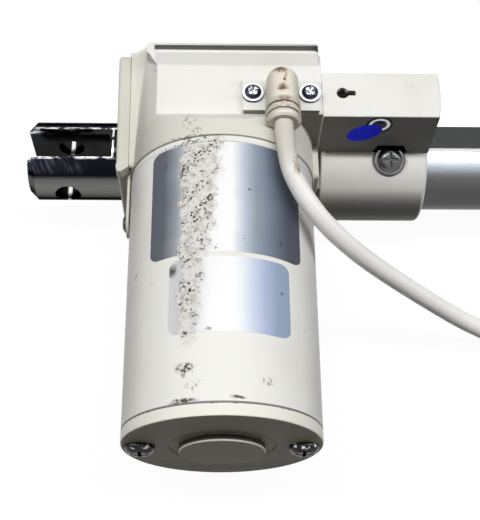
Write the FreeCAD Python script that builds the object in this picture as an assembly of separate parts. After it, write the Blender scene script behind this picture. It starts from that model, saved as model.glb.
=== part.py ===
"""Electric linear actuator lying on its back: worm geared motor, spindle, sliding rod.

X is the stroke, Y the axis of the motor and of both clevis pins, Z points away from the surface that
the actuator lies on. The origin is the centre of the rear pin bore, on the spindle's axis.
"""
import FreeCAD, Part
import math
import os
from FreeCAD import Vector

# Clevises and stroke
pin_bore_d = 10.2
clevis_slot = 13.0
rear_bar_d = 32.0
rear_tip = 15.8
rear_slot_end = 18.4
tip_chamfer = 2.9
front_bar_d = 29.0
front_tip = 14.0
front_slot_depth = 14.0
stroke = 150.0

# Fits
seat_gap = 0.05
running_gap = 0.06
air_gap = 0.4

# Rear cover and rim of the gear housing
cover_x = 22.3
cover_t = 4.7
rim_t = 3.3
case_top = 26.0
case_bottom = -22.0
case_back = -24.0
rim_front_top = 40.4
rim_front_bottom = 32.6
rim_corner_r = 1.4
cover_corner_r = 4.5
lug_bottom = -25.6
lug_z = 27.0
cover_edge_r = 1.3
cover_screw_d = 4.0
cover_screw_head_d = 7.4
cover_screw_inset = 7.0
cover_screw_sink = 0.2

# Motor axis, neck of the housing and motor
worm_centre = 20.5
motor_x = 62.6
motor_d = 70.0
neck_step = 0.7
seam_y = -22.7
bracket_t = 2.5
can_length = 97.8
can_wall = 2.0
cap_t = 4.3
cap_boss_d = 30.0
cap_boss_h = 2.4
cap_dish_d = 37.0
cap_dish_depth = 0.4
bolt_span = 56.6
bolt_d = 4.0
bolt_head_d = 10.4
bolt_head_h = 3.0
shaft_d = 6.0
magnet_t = 7.0
magnet_overhang = 3.0
magnet_angle = 116.0
core_room = 47.8
core_shift = 8.0
core_slots = 10
core_slot_w = 4.0
winding_length = 9.0
commutator_d = 18.0
commutator_length = 13.0
commutator_slot_w = 0.8
brush_w = 5.0
brush_length = 10.0
guide_wall_t = 1.2
pilot_d = 26.0
pilot_h = 4.5
spigot_wall = 3.0
spigot_length = 4.0
tail_bush_length = 7.0
bush_wall = 2.0
end_bush_length = 5.5
shaft_stub = 6.5

# Front panel, ramps and lip of the gear housing
panel_z = 46.2
panel_bottom = -7.2
panel_top = 15.1
ramp_fall = 8.8
lip_z = 47.6
lip_bottom = 20.0
lip_top = 24.9
lip_left = 33.4
lip_end_gap = 0.8
lip_corner_r = 2.2
lip_end_r = 1.0
groove_left = 36.3
groove_low = 20.9
groove_high = 23.6
groove_depth = 3.0
housing_end = 100.4
housing_wall = 3.0
pocket_depth = 11.0
shoulder_end = 36.0
shoulder_rise = 0.85
block_bottom = -21.0
block_front = 24.0
block_corner_r = 8.0
lead_hole_r = 3.0
lead_hole_shift = 4.0
lead_hole_z = 35.0
wire_room_inset = 4.0
tongue_t = 1.2
tongue_w = 12.0
tongue_end = -46.0
side_screw_y = -40.5
side_screw_d = 3.0
side_screw_head_d = 6.6
side_screw_head_h = 1.5

# Spindle drive
wheel_teeth = 32
gear_module = 1.0
wheel_width = 9.0
hub_d = 24.0
spacer_d = 19.0
hub_clearance = 1.0
bearing_web = 3.0
spindle_d = 14.0
seat_d = 15.0
journal_d = 12.0
bearing_d = 32.0
rear_bearing_w = 10.0
front_bearing_w = 9.0
race_inner_d = 20.0
cup_d = 40.0
cup_end = 46.0
front_bearing_x = 79.0
retainer_t = 2.0
chamber_d = 37.2
key_w = 5.0
key_length = 18.0
worm_length = 25.0

# Tube, rod and front end
tube_d = 38.5
tube_wall = 2.0
front_overhang = 29.0
spindle_margin = 28.0
channel_w = 10.0
channel_z = 35.6
channel_wall = 1.5
slit_w = 4.0
end_spigot_wall = 2.29
rod_wall = 3.0
rod_start = 128.0
clevis_root = 19.0
clevis_spigot = 16.0
nut_start = 104.0
nut_neck = 12.0
guide_length = 12.0
guide_wall = 2.4
wiper_t = 2.5
end_cap_t = 4.5
end_cap_rim = 1.2
cross_pin_d = 4.0
cross_pin_inset = 3.2
end_screw_d = 2.5
end_screw_head_d = 4.6
end_screw_head_h = 1.6

# Collar, switch box and limit switches
flange_t = 3.0
flange_inset = 0.25
flange_front = 17.4
flange_crest = 5.0
flange_shoulder = 11.4
collar_wall = 4.75
collar_end = 144.4
collar_edge_r = 2.0
box_bottom = -8.3
box_top = 11.8
box_z = 46.6
box_wall = 2.2
box_edge_r = 0.7
box_bow = 0.8
box_slant = 0.7
key_x = 108.2
key_y = 2.4
key_hole_d = 4.6
key_slot_w = 2.1
key_slot_end = 113.2
eye_x = 122.3
eye_z = 40.9
eye_d = 5.6
eye_ring_d = 10.2
eye_ring_w = 0.9
eye_ring_depth = 0.5
seam_strip = 2.2
collar_screw_x = 128.9
collar_screw_angle = 61.5
collar_screw_d = 4.0
collar_screw_head_d = 9.8
collar_screw_head_h = 3.4
collar_washer_d = 11.4
collar_washer_t = 0.9
flange_screw_d = 4.0
flange_screw_gap = 0.78
flange_screw_angle = 39.8
flange_screw_head_d = 6.8
flange_screw_head_h = 2.6
board_start = 106.0
board_margin = 13.0
switch_end_room = 11.6
board_t = 1.2
board_z = 31.6
switch_length = 12.8
switch_width = 5.8
switch_height = 6.4
striker_w = 3.0
striker_length = 6.0
striker_top = 23.2

# Cable outlet
plate_reach_left = 14.7
plate_reach_right = 14.3
plate_top = 8.0
plate_t = 2.5
plate_end_gap = 1.4
outlet_screw_y = 0.2
outlet_screw_reach = 10.7
outlet_washer_d = 8.2
outlet_washer_t = 1.2
outlet_screw_head_d = 6.2
outlet_screw_head_h = 1.4
outlet_screw_d = 3.0
elbow_d = 12.0
elbow_base_d = 13.0
elbow_chamfer = 0.8
elbow_stem_d = 8.0
elbow_top = 6.9
elbow_end = -16.8
elbow_z = 54.6
elbow_grip = 8.0
elbow_groove_w = 0.9
elbow_groove_starts = (2.4, 5.3)
elbow_groove_depth = 0.7

# Cable
cable_d = 7.0
coil_x = 226.0
coil_entry_y = -76.0
coil_inner_r = 29.0
coil_layers = 2
coil_columns = 3
tail_length = 50.0
boot_grip = 6.0
plug_d = 12.0
plug_length = 34.0
boot_d = 9.0
boot_length = 9.0
prong_d = 4.0
prong_length = 15.0
prong_pitch = 5.4
tie_t = 1.2
tie_w = 4.6
tie_gap = 0.15
tie_angle = -40.0
tie_head = 6.5

# Worked out from the sizes above
rim_x = cover_x + cover_t
body_x = rim_x + rim_t
rear_bearing_x = cup_end - rear_bearing_w
front_bearing_end = front_bearing_x + front_bearing_w
tube_start = front_bearing_end + retainer_t
motor_r = motor_d / 2
neck_r = motor_r + neck_step
can_top = seam_y - bracket_t
can_bottom = can_top - can_length
cap_face = can_bottom - cap_t
can_inner_r = motor_r - can_wall
magnet_inner_r = can_inner_r - magnet_t
core_r = magnet_inner_r - 2 * air_gap
motor_mid = (can_top + can_bottom) / 2 + core_shift
wheel_pitch_r = wheel_teeth * gear_module / 2
wheel_tip_r = wheel_pitch_r + gear_module
wheel_root_r = wheel_pitch_r - 1.25 * gear_module
worm_pitch_r = worm_centre - wheel_pitch_r
worm_root_r = worm_pitch_r - 1.25 * gear_module
core_length = can_length - core_room
magnet_length = core_length + 2 * magnet_overhang
first_switch_x = (nut_start + rod_start) / 2
last_switch_x = first_switch_x + stroke
tube_end = last_switch_x + switch_length / 2 + switch_end_room + guide_length
installed_length = tube_end + front_overhang
spindle_end = tube_end - spindle_margin
rod_end = installed_length - clevis_root
cross_pin_x = rod_end - cross_pin_inset
board_end = tube_end - board_margin
tube_r = tube_d / 2
bore_r = tube_r - tube_wall
rod_r = bore_r - end_spigot_wall - guide_wall - running_gap
rod_bore_r = rod_r - rod_wall
collar_r = tube_r + collar_wall
flange_half = tube_r - flange_inset
collar_x = housing_end
channel_x = collar_x + flange_t
cable_r = cable_d / 2
floor_z = case_back
elbow_x = housing_end - plate_end_gap - plate_reach_right
plate_left = elbow_x - plate_reach_left
plate_right = elbow_x + plate_reach_right
outlet_screw_left = elbow_x - outlet_screw_reach
outlet_screw_right = elbow_x + outlet_screw_reach
lead_hole_x = elbow_x - lead_hole_shift
coil_z = floor_z + tie_t + seat_gap
coil_outer_r = coil_inner_r + (coil_columns - 1) * cable_d
coil_y = coil_entry_y - coil_outer_r
tail_end = coil_x + tail_length
plug_start = tail_end - boot_grip
plug_z = floor_z + plug_d / 2


def cyl_x(r, x0, x1, y=0.0, z=0.0):
    return Part.makeCylinder(r, x1 - x0, Vector(x0, y, z), Vector(1, 0, 0))


def cyl_y(r, y0, y1, x=motor_x, z=worm_centre):
    return Part.makeCylinder(r, y1 - y0, Vector(x, y0, z), Vector(0, 1, 0))


def cyl_z(r, z0, z1, x, y):
    return Part.makeCylinder(r, z1 - z0, Vector(x, y, z0), Vector(0, 0, 1))


def ring_x(outer_r, inner_r, x0, x1):
    return cyl_x(outer_r, x0, x1).cut(cyl_x(inner_r, x0 - 1, x1 + 1))


def ring_y(outer_r, inner_r, y0, y1):
    return cyl_y(outer_r, y0, y1).cut(cyl_y(inner_r, y0 - 1, y1 + 1))


def block(x0, x1, y0, y1, z0, z1):
    return Part.makeBox(x1 - x0, y1 - y0, z1 - z0, Vector(x0, y0, z0))


def rounded_prism(corners, radii, sweep):
    """A closed outline with each corner rounded by its own radius, extruded along sweep."""
    edges = []
    starts = []
    ends = []
    count = len(corners)
    for i, corner in enumerate(corners):
        back = (corners[i - 1] - corner).normalize()
        ahead = (corners[(i + 1) % count] - corner).normalize()
        half = back.getAngle(ahead) / 2
        reach = radii[i] / math.tan(half)
        first = corner + back * reach
        last = corner + ahead * reach
        starts.append(first)
        ends.append(last)
        if radii[i] > 0:
            middle = (back + ahead).normalize()
            centre = corner + middle * (radii[i] / math.sin(half))
            edges.append(Part.Arc(first, centre - middle * radii[i], last).toShape())
    sides = [Part.makeLine(ends[i - 1], starts[i]) for i in range(count)]
    wire = Part.Wire(Part.__sortEdges__(edges + sides))
    return Part.Face(wire).extrude(sweep)


def prism_x(points, radii, x0, x1):
    """An outline of (y, z) points extruded along X."""
    corners = [Vector(x0, y, z) for y, z in points]
    return rounded_prism(corners, radii, Vector(x1 - x0, 0, 0))


def phillips(tip, direction, head_d):
    """The cross recess that is cut into a screw head, with its mouth at tip."""
    arm = head_d * 0.3
    width = head_d * 0.11
    depth = head_d * 0.16
    long_bar = Part.makeBox(2 * arm, width, depth, Vector(-arm, -width / 2, -depth))
    cross_bar = Part.makeBox(width, 2 * arm, depth, Vector(-width / 2, -arm, -depth))
    cross = long_bar.fuse(cross_bar)
    cross.Placement = FreeCAD.Placement(tip, FreeCAD.Rotation(Vector(0, 0, 1), direction))
    return cross


def pan_screw(seat, direction, head_d, head_h, shank_d, shank_length):
    """A pan head screw whose head stands on seat and points along direction."""
    head_r = head_d / 2
    edge = head_h * 0.3
    crown = head_r * 0.45
    profile = [
        Vector(0, 0, -shank_length),
        Vector(shank_d / 2, 0, -shank_length),
        Vector(shank_d / 2, 0, 0),
        Vector(head_r, 0, 0),
        Vector(head_r, 0, edge),
    ]
    lines = [Part.makeLine(profile[i], profile[i + 1]) for i in range(len(profile) - 1)]
    shoulder = Vector((head_r + crown) / 2, 0, edge + (head_h - edge) * 0.74)
    lines.append(Part.Arc(profile[-1], shoulder, Vector(crown, 0, head_h)).toShape())
    lines.append(Part.makeLine(Vector(crown, 0, head_h), Vector(0, 0, head_h)))
    lines.append(Part.makeLine(Vector(0, 0, head_h), profile[0]))
    screw = Part.Face(Part.Wire(lines)).revolve(Vector(0, 0, 0), Vector(0, 0, 1), 360)
    screw.Placement = FreeCAD.Placement(seat, FreeCAD.Rotation(Vector(0, 0, 1), direction))
    return screw.cut(phillips(seat + direction * head_h, direction, head_d))


def flat_screw(seat, direction, head_d, shank_d, length):
    """A countersunk screw whose flat head ends at seat and points along direction."""
    neck_z = (shank_d - head_d) / 2
    profile = [
        Vector(0, 0, -length),
        Vector(shank_d / 2, 0, -length),
        Vector(shank_d / 2, 0, neck_z),
        Vector(head_d / 2, 0, 0),
        Vector(0, 0, 0),
    ]
    face = Part.Face(Part.makePolygon(profile + [profile[0]]))
    screw = face.revolve(Vector(0, 0, 0), Vector(0, 0, 1), 360)
    screw.Placement = FreeCAD.Placement(seat, FreeCAD.Rotation(Vector(0, 0, 1), direction))
    return screw.cut(phillips(seat, direction, head_d))


def save(node, *shapes):
    shape = shapes[0] if len(shapes) == 1 else Part.makeCompound(shapes)
    shape.exportStep(f"parts/{node}.step")
    solids = shape.Solids
    state = "" if shape.isValid() and solids else "  NOT VALID"
    print(f"{node:24s} {len(solids)} solids {sum(s.Volume for s in solids):10.1f} mm3{state}")


# Rear cover, clevis and rim


def rim_slope():
    return (rim_front_top - rim_front_bottom) / (case_top - case_bottom)


def rim_outline(x0, x1, top_r, bottom):
    """The outline that the rear cover shares with the rim of the housing."""
    points = [
        (case_top, case_back),
        (case_top, rim_front_top),
        (bottom, rim_front_bottom + (bottom - case_bottom) * rim_slope()),
        (bottom, case_back),
    ]
    radii = [block_corner_r, top_r, rim_corner_r, block_corner_r]
    return prism_x(points, radii, x0, x1)


def cover_lug():
    """The lower front corner of the cover, which reaches past the rim and slants towards it."""
    below = [
        Vector(cover_x, lug_bottom, lug_z),
        Vector(rim_x, case_bottom, lug_z),
        Vector(rim_x, case_bottom + 1, lug_z),
        Vector(cover_x, case_bottom + 1, lug_z),
    ]
    height = Vector(0, 0, rim_front_top)
    slanted = rounded_prism(below, [rim_corner_r, 0, 0, 0], height)
    return slanted.common(rim_outline(cover_x, rim_x, rim_corner_r, lug_bottom))


def cover_screw_places():
    inset = cover_screw_inset
    return [
        (case_top - inset, case_back + inset),
        (case_top - inset, rim_front_top - inset - 1),
        (case_bottom + inset, rim_front_bottom - inset),
        (case_bottom + inset, case_back + inset),
    ]


def make_rear_cover():
    cover = rim_outline(cover_x, rim_x, cover_corner_r, case_bottom)
    rear_edges = [e for e in cover.Edges if e.BoundBox.XMax < cover_x + 0.01]
    cover = cover.makeFillet(cover_edge_r, rear_edges).fuse(cover_lug()).removeSplitter()
    cover = cover.cut(cyl_x(rear_bar_d / 2 + seat_gap, cover_x - 1, rim_x + 1))
    shank_r = cover_screw_d / 2 + seat_gap
    head_r = cover_screw_head_d / 2 + seat_gap
    sunk_x = cover_x + cover_screw_sink
    for y, z in cover_screw_places():
        cone = Part.makeCone(head_r, shank_r, head_r - shank_r, Vector(sunk_x, y, z), Vector(1, 0, 0))
        mouth = cyl_x(head_r, cover_x - 1, sunk_x, y, z)
        cover = cover.cut([cone, mouth, cyl_x(shank_r, cover_x, rim_x + 1, y, z)])
    return cover


def make_cover_screws():
    screws = []
    for y, z in cover_screw_places():
        seat = Vector(cover_x + cover_screw_sink, y, z)
        length = cover_t + 2.5 * cover_screw_d
        back = Vector(-1, 0, 0)
        screws.append(flat_screw(seat, back, cover_screw_head_d, cover_screw_d, length))
    return screws


def clevis_fork(bar_d, tip, slot_end, root, axis_x, sense):
    """A slotted and cross bored bar end. sense is -1 for a tip towards -X and 1 towards +X."""
    r = bar_d / 2
    profile = [
        Vector(root, 0, 0),
        Vector(root, 0, r),
        Vector(axis_x + sense * (tip - tip_chamfer), 0, r),
        Vector(axis_x + sense * tip, 0, r - tip_chamfer),
        Vector(axis_x + sense * tip, 0, 0),
    ]
    fork = Part.Face(Part.makePolygon(profile + [profile[0]]))
    fork = fork.revolve(Vector(0, 0, 0), Vector(1, 0, 0), 360)
    ends = sorted((slot_end, axis_x + sense * (tip + 1)))
    fork = fork.cut(block(ends[0], ends[1], -clevis_slot / 2, clevis_slot / 2, -r - 1, r + 1))
    return fork.cut(cyl_y(pin_bore_d / 2, -r - 1, r + 1, axis_x, 0))


def make_rear_clevis():
    """The bar ends in a cup that the cover clamps into the housing and that holds the rear bearing."""
    fork = clevis_fork(rear_bar_d, rear_tip, rear_slot_end, rim_x + 1, 0, -1)
    cup = cyl_x(cup_d / 2, rim_x, cup_end)
    clevis = fork.fuse(cup).removeSplitter()
    clevis = clevis.cut(cyl_x(bearing_d / 2 + seat_gap, rear_bearing_x, cup_end + 1))
    return clevis.cut(cyl_x(journal_d / 2 + 2, rear_bearing_x - 3, rear_bearing_x + 1))


# Gear housing


def housing_outside():
    rim = rim_outline(rim_x, body_x, rim_corner_r, case_bottom)
    points = [
        (case_top, case_back),
        (case_top, block_front),
        (block_bottom, block_front),
        (block_bottom, case_back),
    ]
    body = prism_x(points, [block_corner_r, 2.0, 2.0, block_corner_r], body_x - 1, housing_end)
    neck = cyl_y(neck_r, seam_y, lip_bottom)
    panel_box = block(motor_x, housing_end, panel_bottom, lip_bottom, 0, panel_z)
    rise = neck_front() + 1 - panel_z
    slope = (panel_top - lip_bottom) / (panel_z - lip_z)
    cut_front = prism_x(
        [
            (panel_top, panel_z),
            (panel_top + slope * rise, panel_z + rise),
            (panel_bottom - ramp_fall * rise / (neck_front() - panel_z), panel_z + rise),
            (panel_bottom, panel_z),
        ],
        [0, 0, 0, 0],
        rim_x,
        housing_end + 1,
    )
    behind_rim = block(0, rim_x, seam_y - 1, case_top, 0, neck_front() + 1)
    front = neck.fuse(panel_box).cut([cut_front, behind_rim])
    lip = lip_slab()
    return rim.fuse([body, front, lip, rim_shoulder()]).removeSplitter()


def neck_front():
    return worm_centre + neck_r


def rim_shoulder():
    """The slope that rises from the front edge of the rim to the left end of the lip."""
    low = rim_front_top - (case_top - panel_bottom) * rim_slope()
    rise = (shoulder_end - body_x) * shoulder_rise
    corners = [
        Vector(body_x - 1, panel_bottom, low),
        Vector(body_x, panel_bottom, low),
        Vector(shoulder_end, panel_bottom, low + rise),
        Vector(shoulder_end, panel_bottom, 0),
        Vector(body_x - 1, panel_bottom, 0),
    ]
    length = case_top - panel_bottom
    return rounded_prism(corners, [0, 0, 0, 0, 0], Vector(0, length, length * rim_slope()))


def lip_slab():
    """The slab along the top of the housing, ramped up to the lip, with a groove along its front."""
    panel_left = motor_x - math.sqrt(neck_r**2 - (panel_z - worm_centre) ** 2)
    lip_right = housing_end - lip_end_gap
    corners = [
        Vector(lip_left, lip_bottom, 0),
        Vector(lip_left, lip_top, 0),
        Vector(lip_right, lip_top, 0),
        Vector(lip_right, panel_top, 0),
        Vector(panel_left, panel_top, 0),
    ]
    slab = rounded_prism(corners, [lip_corner_r, lip_corner_r, lip_end_r, 0, 0], Vector(0, 0, lip_z))
    above_ramp = prism_x(
        [(panel_top, panel_z), (lip_bottom, lip_z), (panel_top, lip_z)], [0, 0, 0], rim_x, housing_end + 1
    )
    groove = block(groove_left, housing_end + 1, groove_low, groove_high, lip_z - groove_depth, lip_z + 1)
    return slab.cut([above_ramp, groove])


def housing_cavities():
    """Bores along the spindle and the motor, the wire chamber and the pocket above the motor."""
    chamber_r = chamber_d / 2
    wall = housing_wall
    pocket = ring_y(neck_r - wall, pilot_d / 2 + wall, seam_y - 1, seam_y + pocket_depth)
    wire_left = motor_x + wire_room_inset
    wire_right = housing_end - wall
    wire_low = panel_bottom + wall
    return [
        cyl_x(cup_d / 2 + seat_gap, rim_x - 1, cup_end),
        cyl_x(chamber_r, cup_end - 1, front_bearing_x - bearing_web),
        cyl_x(race_inner_d / 2 + 1, front_bearing_x - bearing_web - 1, front_bearing_x + 1),
        cyl_x(bearing_d / 2 + seat_gap, front_bearing_x, front_bearing_end),
        cyl_x(tube_r + seat_gap, front_bearing_end, housing_end + 1),
        cyl_y(worm_pitch_r + 2.5 * gear_module, seam_y - 1, worm_length / 2 + 1),
        cyl_y(shaft_d / 2 + bush_wall + seat_gap, worm_length / 2, worm_length / 2 + shaft_stub + 0.5),
        cyl_y(pilot_d / 2 + seat_gap, seam_y - 1, seam_y + pilot_h + 0.5),
        pocket.common(block(0, motor_x + neck_r, seam_y - 2, 0, block_front + 1, neck_front())),
        block(wire_left, wire_right, wire_low, panel_top, block_front + 6, panel_z - wall),
        cyl_z(elbow_stem_d / 2, panel_z - wall - 1, panel_z + 1, elbow_x, outlet_screw_y),
        block(wire_right - 1, housing_end + 1, wire_low, key_y + 4, channel_z + 2, panel_z - wall),
        cyl_y(lead_hole_r, seam_y - 1, wire_low + 1, lead_hole_x, lead_hole_z),
    ]


def tongue():
    """The strip that runs from the rim down the motor's side and takes the side screw."""
    x1 = motor_x - motor_r - seat_gap
    z0 = worm_centre - tongue_w / 2
    z1 = worm_centre + tongue_w / 2
    end_y = tongue_end + tongue_w / 2
    strip = block(x1 - tongue_t, x1, end_y, case_bottom - seat_gap, z0, z1)
    round_end = cyl_x(tongue_w / 2, x1 - tongue_t, x1, end_y, worm_centre)
    root = block(rim_x, body_x, seam_y + seat_gap, block_bottom + 2, z0, z1)
    return strip.fuse([round_end, root])


def make_gear_housing():
    flange = flange_plate(housing_end - flange_t, housing_end)
    housing = housing_outside().fuse([flange, tongue()]).removeSplitter()
    housing = housing.cut(housing_cavities())
    for y, z in cover_screw_places():
        depth = cover_screw_d * 2.5 + 1
        housing = housing.cut(cyl_x(cover_screw_d / 2 + seat_gap, rim_x - 1, rim_x + depth, y, z))
    for y, z in flange_screw_places():
        start = housing_end - 3 * flange_screw_d
        housing = housing.cut(cyl_x(flange_screw_d / 2 + seat_gap, start, housing_end + 1, y, z))
    for x in (outlet_screw_left, outlet_screw_right):
        hole_r = outlet_screw_d / 2 + seat_gap
        housing = housing.cut(cyl_z(hole_r, panel_z - 8, panel_z + 1, x, outlet_screw_y))
    side_x = motor_x - motor_r
    return housing.cut(
        cyl_x(side_screw_d / 2 + seat_gap, side_x - 5, side_x + 1, side_screw_y, worm_centre)
    )


# Motor


def make_motor_bracket():
    plate = cyl_y(motor_r, can_top, seam_y)
    pilot = cyl_y(pilot_d / 2, seam_y - 1, seam_y + pilot_h)
    spigot_r = can_inner_r - seat_gap
    spigot = ring_y(spigot_r, spigot_r - spigot_wall, can_top - spigot_length, can_top + 1)
    bracket = plate.fuse([pilot, spigot]).removeSplitter()
    bracket = bracket.cut(cyl_y(shaft_d + seat_gap, seam_y - 1, seam_y + pilot_h + 1))
    bracket = bracket.cut(cyl_y(shaft_d / 2 + 1, can_top - 1, seam_y))
    bracket = bracket.cut(cyl_y(lead_hole_r, can_top - 1, seam_y + 1, lead_hole_x, lead_hole_z))
    for x in bolt_places():
        bracket = bracket.cut(cyl_y(bolt_d / 2 + seat_gap, can_top - spigot_length - 1, seam_y + 1, x))
    return bracket


def bolt_places():
    return (motor_x - bolt_span / 2, motor_x + bolt_span / 2)


def make_motor_can():
    can = ring_y(motor_r, can_inner_r, can_bottom, can_top)
    side_x = motor_x - motor_r
    hole_r = side_screw_d / 2 + seat_gap
    return can.cut(cyl_x(hole_r, side_x - 1, side_x + can_wall + 1, side_screw_y, worm_centre))


def make_side_screw():
    seat = Vector(motor_x - motor_r - seat_gap - tongue_t, side_screw_y, worm_centre)
    length = tongue_t + can_wall
    back = Vector(-1, 0, 0)
    return pan_screw(seat, back, side_screw_head_d, side_screw_head_h, side_screw_d, length)


def make_end_cap():
    cap = cyl_y(motor_r, cap_face, can_bottom)
    outer_edge = [e for e in cap.Edges if e.BoundBox.YMax < cap_face + 0.01]
    cap = cap.makeFillet(cap_t / 10, outer_edge)
    spigot_r = can_inner_r - seat_gap
    spigot = ring_y(spigot_r, spigot_r - spigot_wall, can_bottom - 1, can_bottom + spigot_length)
    cap = cap.fuse(spigot).removeSplitter()
    dish = cyl_y(cap_dish_d / 2, cap_face - 1, cap_face + cap_dish_depth)
    boss = cyl_y(cap_boss_d / 2, cap_face - cap_boss_h, cap_face + 1)
    rim = [e for e in boss.Edges if e.BoundBox.YMax < cap_face - cap_boss_h + 0.01]
    boss = boss.makeFillet(cap_boss_h / 5, rim)
    seat_r = shaft_d / 2 + bush_wall + seat_gap
    bush_end = can_bottom + tail_bush_length
    holder = cyl_y(seat_r + spigot_wall, can_bottom - 1, bush_end)
    cap = cap.cut(dish).fuse([boss, holder]).removeSplitter()
    cap = cap.cut(cyl_y(seat_r, can_bottom - 1, bush_end + 1))
    for x in bolt_places():
        cap = cap.cut(cyl_y(bolt_d / 2 + seat_gap, cap_face - 1, can_bottom + spigot_length + 1, x))
    return cap


def make_cap_bolts():
    length = seam_y - cap_face
    return [
        pan_screw(
            Vector(x, cap_face, worm_centre), Vector(0, -1, 0), bolt_head_d, bolt_head_h, bolt_d, length
        )
        for x in bolt_places()
    ]


def make_magnets():
    half_length = magnet_length / 2
    shell = ring_y(can_inner_r - seat_gap, magnet_inner_r, motor_mid - half_length, motor_mid + half_length)
    half = math.radians(magnet_angle / 2)
    reach = motor_d
    magnets = []
    for side in (1, -1):
        centre = Vector(motor_x, 0, worm_centre)
        left = centre + Vector(-math.sin(half), 0, side * math.cos(half)) * reach
        right = centre + Vector(math.sin(half), 0, side * math.cos(half)) * reach
        far = Vector(0, 0, side * reach)
        fan = Part.Face(Part.makePolygon([centre, left, left + far, right + far, right, centre]))
        fan.translate(Vector(0, motor_mid - magnet_length, 0))
        magnets.append(shell.common(fan.extrude(Vector(0, 2 * magnet_length, 0))))
    return magnets


def make_armature_core():
    y0 = motor_mid - core_length / 2
    y1 = motor_mid + core_length / 2
    core = ring_y(core_r, shaft_d / 2 + seat_gap, y0, y1)
    slot_floor = worm_centre + core_r / 2
    for i in range(core_slots):
        half = core_slot_w / 2
        slot = block(motor_x - half, motor_x + half, y0 - 1, y1 + 1, slot_floor, slot_floor + motor_r)
        slot.rotate(Vector(motor_x, 0, worm_centre), Vector(0, 1, 0), 360.0 * i / core_slots)
        core = core.cut(slot)
    return core


def make_windings():
    """The coil heads at both ends of the core."""
    heads = []
    for y in (motor_mid - core_length / 2 - winding_length, motor_mid + core_length / 2):
        head = ring_y(core_r - 2, shaft_d / 2 + 2, y, y + winding_length)
        edges = [e for e in head.Edges if e.BoundBox.XLength > 2 * core_r - 5]
        heads.append(head.makeFillet(winding_length / 4, edges))
    return heads


def commutator_span():
    top = motor_mid - core_length / 2 - winding_length - 1
    return top - commutator_length, top


def make_commutator():
    y0, y1 = commutator_span()
    drum = ring_y(commutator_d / 2, shaft_d / 2 + seat_gap, y0, y1)
    half = commutator_slot_w / 2
    slot_floor = worm_centre + commutator_d / 2 - 1
    for i in range(core_slots):
        slot = block(motor_x - half, motor_x + half, y0 - 1, y1 - 2, slot_floor, slot_floor + commutator_d)
        slot.rotate(Vector(motor_x, 0, worm_centre), Vector(0, 1, 0), 360.0 * i / core_slots)
        drum = drum.cut(slot)
    return drum


def brush_level():
    y0, y1 = commutator_span()
    return (y0 + y1) / 2 - brush_w / 2


def make_brush_holder():
    """A disc round the commutator with a guide for each brush."""
    y = brush_level() - 2
    disc = ring_y(can_inner_r - seat_gap, commutator_d / 2 + 1, y - 2, y)
    for x in bolt_places():
        disc = disc.cut(cyl_y(bolt_d / 2 + 0.5, y - 3, y + 1, x))
    guides = []
    for side in (1, -1):
        near = worm_centre + side * (commutator_d / 2 + 1.5)
        far = near + side * (brush_length + 2)
        z0, z1 = sorted((near, far))
        half = brush_w / 2 + guide_wall_t
        top = brush_level() + brush_w
        guide = block(motor_x - half, motor_x + half, y - 1, top + guide_wall_t, z0, z1)
        half = brush_w / 2 + seat_gap
        low = brush_level() - seat_gap
        slot = block(motor_x - half, motor_x + half, low, top + seat_gap, z0 - 1, z1 + 1)
        guides.append(guide.cut(slot))
    return disc.fuse(guides).removeSplitter()


def make_brushes():
    brushes = []
    half = brush_w / 2
    low = brush_level()
    for side in (1, -1):
        near = worm_centre + side * (commutator_d / 2 + running_gap)
        z0, z1 = sorted((near, near + side * brush_length))
        brushes.append(block(motor_x - half, motor_x + half, low, low + brush_w, z0, z1))
    return brushes


def make_shaft():
    """The motor shaft, thicker where the worm is cut, from the tail bush to the worm end bush."""
    tail = can_bottom - 0.5
    worm_half = worm_length / 2
    rod = cyl_y(shaft_d / 2, tail, worm_half + shaft_stub)
    return rod.fuse(cyl_y(worm_root_r, -worm_half, worm_half)).removeSplitter()


def bush_y(y0, y1):
    return ring_y(shaft_d / 2 + bush_wall, shaft_d / 2 + running_gap, y0, y1)


def make_drive_bearing():
    return ring_y(shaft_d, shaft_d / 2 + running_gap, seam_y, seam_y + pilot_h - 0.5)


# Spindle drive


def make_worm_wheel():
    """Trapezoidal teeth with room for the worm, on a hub that reaches from bearing to bearing."""
    x0 = motor_x - wheel_width / 2
    x1 = motor_x + wheel_width / 2
    wheel = cyl_x(wheel_root_r, x0, x1)
    pitch = 2 * math.pi / wheel_teeth
    half_root = pitch * 0.30 * wheel_pitch_r
    half_tip = pitch * 0.13 * wheel_pitch_r
    tooth_points = [
        (-half_root, wheel_root_r - 0.6),
        (-half_tip, wheel_tip_r),
        (half_tip, wheel_tip_r),
        (half_root, wheel_root_r - 0.6),
    ]
    tooth = prism_x(tooth_points, [0, 0, 0, 0], x0, x1)
    teeth = []
    for i in range(wheel_teeth):
        copy = tooth.copy()
        copy.rotate(Vector(0, 0, 0), Vector(1, 0, 0), 360.0 * i / wheel_teeth)
        teeth.append(copy)
    wheel = wheel.fuse(teeth)
    hub_end = front_bearing_x - bearing_web - hub_clearance
    hub = cyl_x(hub_d / 2, cup_end + hub_clearance, hub_end)
    spacer = cyl_x(spacer_d / 2, cup_end, front_bearing_x)
    wheel = wheel.fuse([hub, spacer]).removeSplitter()
    wheel = wheel.cut(cyl_x(seat_d / 2 + seat_gap, cup_end - 1, front_bearing_x + 1))
    return wheel.cut(key_block(seat_gap))


def key_block(gap):
    half = key_w / 2 + gap
    x0 = motor_x - key_length / 2 - gap
    x1 = motor_x + key_length / 2 + gap
    return block(x0, x1, -half, half, seat_d / 2 - 2.5 - gap, seat_d / 2 + 2 + gap)


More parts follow.
